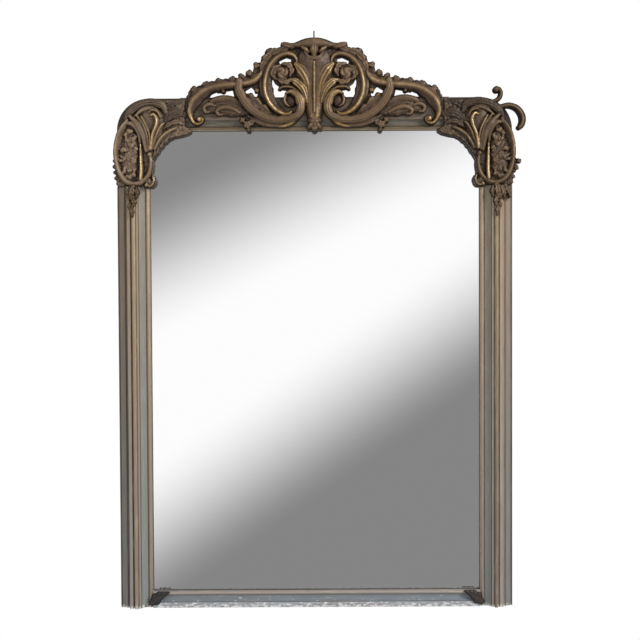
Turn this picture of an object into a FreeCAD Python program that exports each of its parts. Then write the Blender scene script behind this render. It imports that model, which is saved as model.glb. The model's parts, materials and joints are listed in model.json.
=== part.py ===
import FreeCAD
import Part
import Sketcher
import math
import os
import re
from FreeCAD import Rotation, Vector

# Overmantel mirror. x runs along the chimney shelf, +z is up and the front faces -y.
# The origin is in the middle of the bottom rail's underside, in the plane of the wall.

doc = FreeCAD.newDocument("overmantel_mirror")
sheet = doc.addObject("Spreadsheet::Sheet", "Sizes")

SIZES = (
    ("frame_width", 1240, "outer width across the stiles"),
    ("frame_height", 1605, "shelf to the top of the top rail"),
    ("stile_width", 102, "face width of a stile"),
    ("top_rail_width", 102, "face width of the top rail"),
    ("bottom_rail_width", 51, "face width of the bottom rail"),
    ("corner_square", 10, "one square of the corners' drawing"),
    ("corner_lift", 6, "top of the frame to the base line of the corners' drawing"),
    ("crest_clearance", 18, "end of the crest to the corner block"),
    ("crest_lap", 5, "top of the rail to the base line of the crest's drawing"),
    ("carcass_depth", 30, "thickness of the pine stiles and rails"),
    ("corner_land", 2, "straight part left on top of a stile beside its round corner"),
    ("glass_rebate_width", 12, "lap of the frame over the glass"),
    ("glass_rebate_depth", 22, "depth of the glass bed from the back"),
    ("board_rebate_width", 24, "lap of the frame under the backboards"),
    ("board_rebate_depth", 10, "depth of the backboards' bed from the back"),
    ("tenon_length", 60, "length of the rails' tenons"),
    ("tenon_thickness", 12, "thickness of the rails' tenons"),
    ("tenon_setback", 12, "tenon's cheek from the back"),
    ("top_tenon_height", 40, "height of the top rail's tenon"),
    ("top_tenon_drop", 34, "top of the frame to the top tenon"),
    ("bottom_tenon_height", 22, "height of the bottom rail's tenon"),
    ("bottom_tenon_lift", 6, "shelf to the bottom tenon"),
    ("peg_diameter", 8, "pegs through the tenons"),
    ("peg_length", 26, "length of the pegs"),
    ("slip_width", 15, "width of the gilt sight slips"),
    ("slip_height", 6, "shoulder of the gilt sight slips"),
    ("slip_bead", 10, "width of the bead on the sight slips"),
    ("edge_width", 6, "stile moulding: outer fillet"),
    ("edge_height", 6, "stile moulding: height of the outer fillet"),
    ("cove_width", 17, "stile moulding: outer cove"),
    ("cove_height", 17, "stile moulding: top of the outer cove"),
    ("quirk_width", 8, "stile moulding: outer quirk"),
    ("quirk_depth", 4, "stile moulding: depth of both quirks"),
    ("fillet_width", 11, "stile moulding: light fillet"),
    ("fillet_height", 27, "stile moulding: height of the light fillet"),
    ("groove_width", 5, "stile moulding: quirk beside the bead"),
    ("bead_width", 12, "stile moulding: gilt bead"),
    ("bead_height", 30, "stile moulding: foot of the gilt bead"),
    ("inner_fillet_width", 8, "stile moulding: inner fillet"),
    ("cavetto_height", 21, "stile moulding: top of the cavetto"),
    ("cavetto_foot", 8, "stile moulding: foot of the cavetto"),
    ("band_width", 17, "bottom rail: plain band"),
    ("band_height", 18, "bottom rail: height of the band"),
    ("band_step", 2, "bottom rail: step above the band"),
    ("frieze_height", 14, "height of the flat bed of the carved work"),
    ("frieze_cavetto", 17, "cavetto at the foot of the frieze"),
    ("spandrel_radius", 90, "rounding of the glass at its top corners"),
    ("spandrel_tip", 3, "thickness left at the tips of a spandrel"),
    ("glass_thickness", 5, "silvered plate"),
    ("glass_clearance", 2, "play of the glass in its rebate"),
    ("board_thickness", 8, "backboards"),
    ("board_gap", 1.5, "play round and between the backboards"),
    ("block_length", 60, "glazing blocks"),
    ("nail_shank", 2.5, "backboard nails"),
    ("nail_length", 15, "backboard nails, under the head"),
    ("nail_head", 7, "diameter of the nails' heads"),
    ("nail_head_thickness", 1.2, "thickness of the nails' heads"),
    ("hanger_inset", 40, "outer edge of the stile to the hanging plate's middle"),
    ("hanger_drop", 400, "top of the frame to the hanging plate's middle"),
    ("hanger_width", 32, "hanging plate"),
    ("hanger_length", 90, "hanging plate"),
    ("hanger_thickness", 3, "hanging plate and crest strap"),
    ("hook_hole", 12, "round entry of the hanging plate"),
    ("hook_slot", 6, "slot above the entry"),
    ("hook_rise", 14, "entry to the top of the slot"),
    ("hook_pocket", 12, "depth of the pocket behind the hanging plate"),
    ("screw_head", 9, "countersunk screws"),
    ("screw_shank", 4.5, "countersunk screws"),
    ("screw_length", 22, "countersunk screws"),
    ("screw_inset", 10, "screw to the end of its plate"),
    ("spine_width", 60, "batten behind the crest"),
    ("spine_height", 150, "batten behind the crest, above the rail"),
    ("strap_width", 26, "iron strap on the batten"),
    ("strap_rise", 80, "iron strap above the rail"),
    ("strap_clearance", 6, "foot of the strap to the backboards' bed"),
    ("scroll_rise", 26, "height of the scrolls' ridge"),
    ("leaf_rise", 22, "height of the leaves"),
    ("palmette_rise", 30, "height of the palmette"),
    ("cap_rise", 36, "height of the cap leaf"),
    ("flower_rise", 30, "height of the crest flowers"),
    ("boss_rise", 20, "height of the rosette"),
    ("pin_diameter", 4, "iron pin on the crest"),
    ("pin_length", 24, "iron pin on the crest"),
    ("pin_grip", 8, "length of the pin inside the cap leaf"),
    ("ring_rise", 24, "height of the cartouche ring"),
    ("blossom_rise", 18, "height of the blossoms"),
    ("husk_rise", 24, "height of the husk drop"),
    ("foot_leaf_rise", 10, "height of the leaves at the lower corners"),
)

# Sizes of the carved work in squares of its drawings, and what follows from the room that is left.
DERIVED = {
    # Corner block along the top rail.
    "corner_reach": "20 * corner_square",
    # Corner block down the stile.
    "corner_drop": "27.7 * corner_square",
    # One square of the crest's drawing.
    "crest_square": "(frame_width / 2 - corner_reach - crest_clearance) / 40.2",
    # C-scroll: ridge to outer edge.
    "scroll_outer": "1.2 * crest_square",
    # C-scroll: ridge to inner edge.
    "scroll_inner": "0.8 * crest_square",
    # S-scroll: ridge to the scalloped edge.
    "long_scroll_outer": "2.4 * crest_square",
    # S-scroll: ridge to inner edge.
    "long_scroll_inner": "1.1 * crest_square",
    # Half width of the base volutes.
    "volute_half": "0.9 * crest_square",
    # Half width of the sweeping leaves.
    "leaf_half": "1.5 * crest_square",
    # Half width of the leaf sprays on the frieze.
    "spray_half": "2.2 * crest_square",
    # Half width of the raffle leaves.
    "raffle_half": "1.1 * crest_square",
    # Half width of the cap leaf.
    "cap_half": "1.3 * crest_square",
    # Crest flowers.
    "flower_radius": "3.4 * crest_square",
    # Rosette under the palmette.
    "boss_radius": "2.4 * crest_square",
    # Half width of the cartouche ring.
    "ring_half": "0.8 * corner_square",
    # Half width of the gilt reed.
    "reed_half": "0.6 * corner_square",
    # Half width of the hooded leaf.
    "hood_half": "1.4 * corner_square",
    # Half width of the curled fronds.
    "curl_half": "0.9 * corner_square",
    # Blossoms in the cartouche.
    "blossom_radius": "1.6 * corner_square",
    # Half width of the volute at the foot of the cartouche.
    "knob_half": "0.7 * corner_square",
    # Half width of the husk drop.
    "husk_half": "1.4 * corner_square",
    # Half width of the leaves at the lower corners.
    "foot_leaf_half": "1.3 * corner_square",
}

for row, (alias, value, note) in enumerate(SIZES, start=1):
    sheet.set(f"A{row}", note)
    sheet.set(f"B{row}", str(value))
    sheet.setAlias(f"B{row}", alias)
doc.recompute()
ALIASES = {alias for alias, _, _ in SIZES}

# Places on the frame that several pieces share.
HALF_WIDTH = "(frame_width / 2)"
HALF_SIGHT = "(frame_width / 2 - stile_width)"
SIGHT_TOP = "(frame_height - top_rail_width)"
MOULDING_WIDTH = "(stile_width - slip_width)"
BED = "(carcass_depth + frieze_height)"

sub_parts = []


def expanded(text):
    """Return an expression with each derived size written out in sizes of the sheet."""
    def write_out(match):
        word = match.group(0)
        return f"({expanded(DERIVED[word])})" if word in DERIVED else word
    return re.sub(r"[a-z_]+", write_out, text)


def bound(text):
    """Return an expression whose sizes point at the sheet's cells."""
    def point(match):
        word = match.group(0)
        return f"Sizes.{word}" if word in ALIASES else word
    return re.sub(r"[a-z_]+", point, expanded(text))


def size(text):
    """Return the value in mm of an expression of sizes."""
    return float(sheet.evalExpression(expanded(text)))


def keep(obj, label):
    """Give a finished sub-part its name and list it for the file."""
    obj.Label = label
    sub_parts.append(obj)
    return obj


def place(obj, x="0", y="0", z="0"):
    """Bind an object's position to the sheet."""
    for axis, text in zip("xyz", (x, y, z)):
        obj.setExpression(f"Placement.Base.{axis}", bound(text))
    return obj


def block(name, corner, sides):
    """Make a box; its corner is (x, depth in front of the wall, z), its sides (x, depth, z)."""
    box = doc.addObject("Part::Box", name)
    for prop, text in zip(("Length", "Width", "Height"), sides):
        box.setExpression(prop, bound(text))
    return place(box, corner[0], f"-({corner[1]}) - ({sides[1]})", corner[2])


def rod(name, foot, diameter, length):
    """Make a round bar that runs forward from its foot (x, depth, z)."""
    bar = doc.addObject("Part::Cylinder", name)
    bar.setExpression("Radius", bound(f"({diameter}) / 2"))
    bar.setExpression("Height", bound(length))
    bar.Placement.Rotation = Rotation(Vector(1, 0, 0), 90)
    return place(bar, foot[0], f"-({foot[1]})", foot[2])


def united(name, shapes):
    """Fuse several objects into one."""
    fuse = doc.addObject("Part::MultiFuse", name)
    fuse.Shapes = shapes
    return fuse


def grouped(name, shapes):
    """Hold several like pieces together as separate solids."""
    group = doc.addObject("Part::Compound", name)
    group.Links = shapes
    return group


def less(name, base, tools):
    """Cut tools from a base."""
    cut = doc.addObject("Part::Cut", name)
    cut.Base = base
    cut.Tool = tools[0] if len(tools) == 1 else united(f"{name}_tools", tools)
    return cut


def mirrored(name, source):
    """Make the other hand of a piece, across the middle of the frame."""
    other = doc.addObject("Part::Mirroring", name)
    other.Source = source
    other.Normal = Vector(1, 0, 0)
    return other


def arc_between(start, end, radius, side):
    """Return the shorter arc from start to end; its centre lies left (1) or right (-1)."""
    chord = end - start
    left = Vector(-chord.y, chord.x, 0).normalize()
    rise = math.sqrt(max(radius ** 2 - (chord.Length / 2) ** 2, 0))
    centre = (start + end) / 2 + left * (side * rise)
    circle = Part.Circle(centre, Vector(0, 0, 1), radius)
    first, last = (start, end) if side > 0 else (end, start)
    return Part.ArcOfCircle(circle, circle.parameter(first), circle.parameter(last))


def outline(body, name, role, corners, arcs=None):
    """Draw a closed outline on a body's own plane, its corners bound to the sheet.

    arcs maps the number of a corner to (radius, side) where the edge leaving it bends.
    """
    sketch = body.newObject("Sketcher::SketchObject", name)
    plane = [item for item in body.Origin.OriginFeatures if item.Role == role][0]
    sketch.AttachmentSupport = (plane, [""])
    sketch.MapMode = "FlatFace"
    arcs = arcs or {}
    points = [Vector(size(across), size(up), 0) for across, up in corners]
    ends = []
    for index, start in enumerate(points):
        end = points[(index + 1) % len(points)]
        if index in arcs:
            radius, side = arcs[index]
            sketch.addGeometry(arc_between(start, end, size(radius), side))
            ends.append((1, 2) if side > 0 else (2, 1))
        else:
            sketch.addGeometry(Part.LineSegment(start, end))
            ends.append((1, 2))
    for index in range(len(points)):
        after = (index + 1) % len(points)
        sketch.addConstraint(
            Sketcher.Constraint("Coincident", index, ends[index][1], after, ends[after][0]))
    for index, (across, up) in enumerate(corners):
        for kind, text in (("DistanceX", across), ("DistanceY", up)):
            number = sketch.addConstraint(
                Sketcher.Constraint(kind, -1, 1, index, ends[index][0], size(text)))
            if text != "0":
                sketch.setExpression(f"Constraints[{number}]", bound(text))
        if index in arcs:
            radius = arcs[index][0]
            number = sketch.addConstraint(Sketcher.Constraint("Radius", index, size(radius)))
            sketch.setExpression(f"Constraints[{number}]", bound(radius))
    return sketch


def padded(name, role, corners, length, arcs=None):
    """Make a body from an outline padded by a length."""
    body = doc.addObject("PartDesign::Body", name)
    pad = body.newObject("PartDesign::Pad", f"{name}_pad")
    pad.Profile = outline(body, f"{name}_outline", role, corners, arcs)
    pad.setExpression("Length", bound(length))
    return body


def screw(name, x, depth, z):
    """Make a countersunk screw driven forward from a plate's back."""
    head = doc.addObject("Part::Cone", f"{name}_head")
    head.setExpression("Radius1", bound("screw_head / 2"))
    head.setExpression("Radius2", bound("screw_shank / 2"))
    head.setExpression("Height", bound("hanger_thickness"))
    head.Placement.Rotation = Rotation(Vector(1, 0, 0), 90)
    place(head, x, f"-({depth})", z)
    shank = rod(f"{name}_shank", (x, f"{depth} + hanger_thickness", z),
                "screw_shank", "screw_length - hanger_thickness")
    return united(name, [head, shank])


# Carved work

def ridge_section(outer, inner, rise):
    """Section of a scroll: a hollow outside, a round ridge and a steep inner side."""
    crest = min(outer, inner) * 0.45
    lip = rise * 0.3
    shoulder = rise * 0.86
    hollow = ((outer + crest) / 2, (lip + shoulder) / 2 - rise * 0.13)
    return ((outer, 0), (outer, lip), hollow, (crest, shoulder), (0, rise), (-crest, shoulder),
            (-inner, lip), (-inner, 0))


def leaf_section(outer, inner, rise):
    """Section of a leaf: two swelling blades and a vein between them."""
    lip = rise * 0.3
    return ((outer, 0), (outer, lip), (outer * 0.55, rise), (0, rise * 0.7),
            (-inner * 0.55, rise), (-inner, lip), (-inner, 0))


def round_section(outer, inner, rise):
    """Section of a reed or a rim: a plain swelling."""
    lip = rise * 0.35
    return ((outer, 0), (outer, lip), (outer * 0.6, rise * 0.86), (0, rise),
            (-inner * 0.6, rise * 0.86), (-inner, lip), (-inner, 0))


def wire_of(section, at):
    """Turn a section's outline into a wire; at maps (across, rise) into space."""
    spots = [at(*point) for point in section]
    return Part.makePolygon(spots + spots[:1])


def carved_band(points, shares, section, outer, inner, rise, bed, lobes=0, scallop=0.0):
    """Loft a carved band along a curve through points.

    points are (x, z) in mm; shares give the band's size at each point as a part of the full
    one; outer lies left of the way along the curve; bed is the depth of the flat back in
    front of the wall; lobes is the number of scallops on the outer edge.
    """
    curve = Part.BSplineCurve()
    curve.interpolate([Vector(x, 0, z) for x, z in points])
    stops = [curve.parameter(Vector(x, 0, z)) for x, z in points]
    spans = len(points) - 1
    steps = max(2, math.ceil(4 * lobes / spans))
    wires = []
    for number in range(spans * steps + 1):
        span = min(number // steps, spans - 1)
        part = number / steps - span
        along = stops[span] + (stops[span + 1] - stops[span]) * part
        share = shares[span] + (shares[span + 1] - shares[span]) * part
        middle = curve.value(along)
        way = curve.tangent(along)[0]
        left = Vector(-way.z, 0, way.x)
        wave = abs(math.sin(math.pi * lobes * number / (spans * steps))) if lobes else 1.0
        reach = outer * share * (1 - scallop * (1 - wave))
        lift = rise * (0.45 + 0.55 * share)

        def at(across, up, middle=middle, left=left):
            return middle + left * across + Vector(0, -bed - up, 0)

        wires.append(wire_of(section(reach, inner * share, lift), at))
    return solid_of(Part.makeLoft(wires, True, False))


def solid_of(shape):
    """Return a shape's solid with its faces turned outward."""
    solid = shape.Solids[0]
    if solid.Volume < 0:
        solid.reverse()
    return solid


def rosette(centre, radius, petals, rise, bed, turn=0.0):
    """Loft a flower with round petals that swells to a button; centre is (x, z)."""
    wires = []
    for share, up in ((1.0, 0.0), (1.0, 0.35), (0.62, 0.86), (0.22, 1.0)):
        edges = []
        for petal in range(petals):
            spots = []
            for step, reach in ((-0.5, 0.66), (0.0, 1.0), (0.5, 0.66)):
                angle = turn + 2 * math.pi * (petal + step) / petals
                spots.append(Vector(centre[0] + radius * share * reach * math.cos(angle),
                                    -bed - rise * up,
                                    centre[1] + radius * share * reach * math.sin(angle)))
            edges.append(Part.Arc(*spots).toShape())
        wires.append(Part.Wire(edges))
    return solid_of(Part.makeLoft(wires, True, True))


def carving(name, shape):
    """Add a carved piece to the document."""
    piece = doc.addObject("Part::Feature", name)
    piece.Shape = shape
    piece.Placement = FreeCAD.Placement()
    return piece


def joined(shapes):
    """Fuse carved solids that overlap into one."""
    whole = shapes[0].multiFuse(shapes[1:])
    if len(whole.Solids) != 1:
        raise RuntimeError("carved pieces that should meet are apart")
    return solid_of(whole)


def both_hands(name, shape):
    """Add a carved piece and its other hand as two solids of one node."""
    first = carving(f"{name}_first", shape)
    return grouped(f"{name}_pair", [first, mirrored(f"{name}_second", first)])


def on_crest(points):
    """Place points of the crest's drawing: squares from the middle of its base line."""
    square = size("crest_square")
    base = size("frame_height - crest_lap")
    return [(x * square, base + z * square) for x, z in points]


def on_corner(points):
    """Place points of the left corner's drawing: squares from the frame's outer corner."""
    square = size("corner_square")
    edge = -size(HALF_WIDTH)
    base = size("frame_height + corner_lift")
    return [(edge + x * square, base + z * square) for x, z in points]


def build_carcass():
    """Make the pine stiles and rails with their rebates, tenons and pegs."""
    top_tenon_foot = "frame_height - top_tenon_drop - top_tenon_height"
    blank = padded("stile_blank", "XZ_Plane", [
        ("0", "0"),
        ("stile_width", "0"),
        ("stile_width", "frame_height"),
        ("stile_width - corner_land", "frame_height"),
        ("0", "frame_height - stile_width + corner_land"),
    ], "carcass_depth", {3: ("stile_width - corner_land", 1)})
    place(blank, f"-{HALF_WIDTH}")
    peg_x = f"-{HALF_SIGHT} - tenon_length / 2"
    hanger_x = f"hanger_inset - {HALF_WIDTH}"
    hanger_z = "frame_height - hanger_drop"
    pegs = []
    for joint, foot, height in (("top", top_tenon_foot, "top_tenon_height"),
                                ("bottom", "bottom_tenon_lift", "bottom_tenon_height")):
        pegs.append(rod(f"left_{joint}_peg", (peg_x, "0", f"{foot} + {height} / 2"),
                        "peg_diameter", "peg_length"))
    cuts = pegs + [
        block("stile_glass_rebate",
              (f"-{HALF_SIGHT} - glass_rebate_width", "board_rebate_depth",
               "bottom_rail_width - glass_rebate_width"),
              ("glass_rebate_width", "glass_rebate_depth - board_rebate_depth",
               f"{SIGHT_TOP} - bottom_rail_width + 2 * glass_rebate_width")),
        block("stile_board_rebate",
              (f"-{HALF_SIGHT} - board_rebate_width", "0",
               "bottom_rail_width - board_rebate_width"),
              ("board_rebate_width", "board_rebate_depth",
               f"{SIGHT_TOP} - bottom_rail_width + 2 * board_rebate_width")),
        block("top_mortise", (f"-{HALF_SIGHT} - tenon_length", "tenon_setback", top_tenon_foot),
              ("tenon_length", "tenon_thickness", "top_tenon_height")),
        block("bottom_mortise",
              (f"-{HALF_SIGHT} - tenon_length", "tenon_setback", "bottom_tenon_lift"),
              ("tenon_length", "tenon_thickness", "bottom_tenon_height")),
        block("hanger_recess",
              (f"{hanger_x} - hanger_width / 2", "0", f"{hanger_z} - hanger_length / 2"),
              ("hanger_width", "hanger_thickness", "hanger_length")),
        block("hook_pocket_hollow",
              (f"{hanger_x} - hook_hole / 2", "hanger_thickness", f"{hanger_z} - hook_hole / 2"),
              ("hook_hole", "hook_pocket", "hook_hole / 2 + hook_rise")),
    ]
    cuts += [doc.getObject(name) for name in ("hanger_upper_screw", "hanger_lower_screw")]
    cuts += [item for item in doc.Objects if item.Name.startswith("left_nail_shank")]
    stile = keep(less("stile", blank, cuts), "left_stile")
    keep(mirrored("right_stile", stile), "right_stile")
    both = pegs + [mirrored(f"right_{peg.Name}", peg) for peg in pegs]
    keep(grouped("pegs", both), "joint_pegs")

    rail_length = f"2 * {HALF_SIGHT}"
    for name, foot, height, tenon_foot, tenon_height, lip in (
            ("top", SIGHT_TOP, "top_rail_width", top_tenon_foot, "top_tenon_height",
             (SIGHT_TOP, SIGHT_TOP)),
            ("bottom", "0", "bottom_rail_width", "bottom_tenon_lift", "bottom_tenon_height",
             ("bottom_rail_width - glass_rebate_width", "bottom_rail_width - board_rebate_width"))):
        bar = block(f"{name}_bar", (f"-{HALF_SIGHT}", "0", foot),
                    (rail_length, "carcass_depth", height))
        tenon = block(f"{name}_tenons",
                      (f"-{HALF_SIGHT} - tenon_length", "tenon_setback", tenon_foot),
                      (f"{rail_length} + 2 * tenon_length", "tenon_thickness", tenon_height))
        tools = [
            block(f"{name}_glass_rebate", (f"-{HALF_SIGHT}", "board_rebate_depth", lip[0]),
                  (rail_length, "glass_rebate_depth - board_rebate_depth", "glass_rebate_width")),
            block(f"{name}_board_rebate", (f"-{HALF_SIGHT}", "0", lip[1]),
                  (rail_length, "board_rebate_depth", "board_rebate_width")),
        ]
        tools += [peg for peg in both if name in peg.Name]
        tools += [item for item in doc.Objects if item.Name.startswith(f"{name}_nail_shank")]
        if name == "top":
            tools += [doc.getObject(item) for item in
                      ("strap_plate", "strap_screw_low_end", "strap_screw_low_mid")]
        keep(less(f"{name}_rail", united(f"{name}_rail_blank", [bar, tenon]), tools),
             f"{name}_rail")


def build_mouldings():
    """Make the painted mouldings, the gilt sight slips, the corner blocks and spandrels."""
    cove_end = "edge_width + cove_width"
    fillet_start = f"{cove_end} + quirk_width"
    fillet_end = f"{fillet_start} + fillet_width"
    bead_start = f"{fillet_end} + groove_width"
    bead_end = f"{bead_start} + bead_width"
    cavetto_start = f"{bead_end} + inner_fillet_width"
    profile = [
        ("0", "0"),
        ("0", "edge_height"),
        ("edge_width", "edge_height"),
        (cove_end, "cove_height"),
        (cove_end, "cove_height - quirk_depth"),
        (fillet_start, "cove_height - quirk_depth"),
        (fillet_start, "fillet_height"),
        (fillet_end, "fillet_height"),
        (fillet_end, "fillet_height - quirk_depth"),
        (bead_start, "fillet_height - quirk_depth"),
        (bead_start, "bead_height"),
        (f"{bead_start} + bead_width / 2", "bead_height + bead_width / 2"),
        (bead_end, "bead_height"),
        (bead_end, "fillet_height"),
        (cavetto_start, "fillet_height"),
        (cavetto_start, "cavetto_height"),
        (MOULDING_WIDTH, "cavetto_foot"),
        (MOULDING_WIDTH, "0"),
    ]
    stile = padded("stile_moulding", "XY_Plane",
                   [(across, f"-carcass_depth - ({up})") for across, up in profile],
                   "frame_height - corner_drop",
                   {2: ("cove_width * 0.9", -1), 10: ("bead_width / 2", 1),
                    11: ("bead_width / 2", 1),
                    15: (f"0.68 * sqrt(({MOULDING_WIDTH} - ({cavetto_start})) ^ 2"
                         " + (cavetto_height - cavetto_foot) ^ 2)", -1)})
    keep(place(stile, f"-{HALF_WIDTH}"), "left_stile_moulding")
    keep(mirrored("right_stile_moulding", stile), "right_stile_moulding")

    foot = "bottom_rail_width - slip_width"
    bottom = padded("bottom_moulding", "YZ_Plane", [
        ("-carcass_depth", "0"),
        ("-carcass_depth - band_height", "0"),
        ("-carcass_depth - band_height", "band_width"),
        ("-carcass_depth - band_height + band_step", "band_width"),
        ("-carcass_depth - band_height + band_step", "band_width + band_step"),
        ("-carcass_depth - slip_height", foot),
        ("-carcass_depth", foot),
    ], f"2 * {HALF_SIGHT}", {4: (f"({foot} - band_width) * 0.78", 1)})
    keep(place(bottom, f"-{HALF_SIGHT}"), "bottom_rail_moulding")

    frieze = padded("frieze", "YZ_Plane", [
        ("-carcass_depth", "0"),
        ("-carcass_depth - slip_height", "0"),
        ("-carcass_depth - frieze_height + band_step", "frieze_cavetto"),
        ("-carcass_depth - frieze_height", "frieze_cavetto"),
        ("-carcass_depth - frieze_height", "top_rail_width - slip_width"),
        ("-carcass_depth", "top_rail_width - slip_width"),
    ], "frame_width - 2 * corner_reach", {1: ("frieze_cavetto * 0.78", 1)})
    keep(place(frieze, f"corner_reach - {HALF_WIDTH}", "0", f"{SIGHT_TOP} + slip_width"),
         "top_rail_frieze")

    bead_from = "(slip_width - slip_bead) / 2"
    slip = [
        ("0", "0"),
        ("0", "slip_height"),
        (bead_from, "slip_height"),
        ("slip_width / 2", "slip_height + slip_bead / 2"),
        (f"{bead_from} + slip_bead", "slip_height"),
        ("slip_width", "slip_height"),
        ("slip_width", "0"),
    ]
    upright = padded("side_slip", "XY_Plane",
                     [(across, f"-carcass_depth - ({up})") for across, up in slip],
                     f"{SIGHT_TOP} + slip_width",
                     {2: ("slip_bead / 2", 1), 3: ("slip_bead / 2", 1)})
    keep(place(upright, f"-{HALF_SIGHT} - slip_width"), "left_sight_slip")
    keep(mirrored("right_slip", upright), "right_sight_slip")
    for name, foot_z in (("top", SIGHT_TOP), ("bottom", "bottom_rail_width - slip_width")):
        level = padded(f"{name}_slip", "YZ_Plane",
                       [(f"-carcass_depth - ({up})", across) for across, up in slip],
                       f"2 * {HALF_SIGHT}",
                       {2: ("slip_bead / 2", -1), 3: ("slip_bead / 2", -1)})
        keep(place(level, f"-{HALF_SIGHT}", "0", foot_z), f"{name}_sight_slip")

    round_from = "stile_width - corner_land"
    inner = "-top_rail_width + slip_width"
    corner = padded("corner_block", "XZ_Plane", [
        ("0", "-corner_drop"),
        (MOULDING_WIDTH, "-corner_drop"),
        (MOULDING_WIDTH, inner),
        ("corner_reach", inner),
        ("corner_reach", "0"),
        (round_from, "0"),
        ("0", f"-({round_from})"),
    ], "frieze_height", {5: (round_from, 1)})
    keep(place(corner, f"-{HALF_WIDTH}", "-carcass_depth", "frame_height"), "left_corner_block")
    keep(mirrored("right_corner_block", corner), "right_corner_block")

    reach = "spandrel_radius + spandrel_tip"
    spandrel = padded("spandrel", "XZ_Plane", [
        ("0", "0"),
        ("0", f"-({reach})"),
        ("spandrel_tip", f"-({reach})"),
        (reach, "-spandrel_tip"),
        (reach, "0"),
    ], f"{BED} - glass_rebate_depth", {2: ("spandrel_radius", -1)})
    keep(place(spandrel, f"-{HALF_SIGHT}", "-glass_rebate_depth", SIGHT_TOP), "left_spandrel")
    keep(mirrored("right_spandrel", spandrel), "right_spandrel")


def build_glass_and_back():
    """Make the silvered plate, its blocks, the backboards and their nails."""
    play = "glass_rebate_width - glass_clearance"
    glass_foot = "bottom_rail_width - glass_rebate_width"
    keep(block("glass", (f"-{HALF_SIGHT} - {play}", "glass_rebate_depth - glass_thickness",
                         glass_foot),
               (f"2 * ({HALF_SIGHT} + {play})", "glass_thickness",
                f"{SIGHT_TOP} + {play} - ({glass_foot})")), "mirror_plate")

    block_depth = "glass_rebate_depth - glass_thickness - board_rebate_depth"
    blocks = []
    for number in range(5):
        middle = f"bottom_rail_width + ({SIGHT_TOP} - bottom_rail_width) * {number + 0.5} / 5"
        side = block(f"side_block_{number}",
                     (f"-{HALF_SIGHT} - glass_rebate_width", "board_rebate_depth",
                      f"{middle} - block_length / 2"),
                     ("glass_rebate_width", block_depth, "block_length"))
        blocks += [side, mirrored(f"right_block_{number}", side)]
    for number in range(-1, 2):
        start = f"{number} * {HALF_SIGHT} * 0.64 - block_length / 2"
        for name, foot in (("top", SIGHT_TOP), ("bottom", glass_foot)):
            blocks.append(block(f"{name}_block_{number + 1}", (start, "board_rebate_depth", foot),
                                ("block_length", block_depth, "glass_rebate_width")))
    keep(grouped("blocks", blocks), "glazing_blocks")

    span = f"(2 * ({HALF_SIGHT} + board_rebate_width))"
    width = f"({span} - 4 * board_gap) / 3"
    foot = "bottom_rail_width - board_rebate_width + board_gap"
    height = f"{SIGHT_TOP} - bottom_rail_width + 2 * board_rebate_width - 2 * board_gap"
    depth = "board_rebate_depth - board_thickness"
    heads = []

    def nail(group, number, x, z):
        shank = rod(f"{group}_nail_shank_{number}", (x, depth, z), "nail_shank", "nail_length")
        head = rod(f"{group}_nail_head_{number}", (x, f"{depth} - nail_head_thickness", z),
                   "nail_head", "nail_head_thickness")
        heads.append(united(f"{group}_nail_{number}", [shank, head]))

    for number in range(6):
        x = f"{span} * ({number // 2} + {0.25 + 0.5 * (number % 2)}) / 3 - {span} / 2"
        nail("top", number, x, f"{SIGHT_TOP} + board_rebate_width * 3 / 4")
        nail("bottom", number, x, "bottom_rail_width - board_rebate_width * 3 / 4")
    for number in range(4):
        z = f"bottom_rail_width + ({SIGHT_TOP} - bottom_rail_width) * {number + 0.5} / 4"
        nail("left", number, f"-{HALF_SIGHT} - board_rebate_width * 3 / 4", z)
        heads.append(mirrored(f"right_nail_{number}", doc.getObject(f"left_nail_{number}")))
        mirrored(f"right_nail_shank_{number}", doc.getObject(f"left_nail_shank_{number}"))
    keep(grouped("nails", heads), "backboard_nails")

    boards = []
    for number in range(3):
        board = block(f"board_{number}",
                      (f"-{span} / 2 + board_gap + {number} * ({width} + board_gap)", depth, foot),
                      (width, "board_thickness", height))
        ends = [f"{end}_nail_shank_{2 * number + step}" for end in ("top", "bottom")
                for step in range(2)]
        sides = {0: "left", 2: "right"}
        if number in sides:
            ends += [f"{sides[number]}_nail_shank_{step}" for step in range(4)]
        holes = [doc.getObject(name) for name in ends]
        boards.append(less(f"pierced_board_{number}", board, holes))
    keep(grouped("boards", boards), "backboards")


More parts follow.
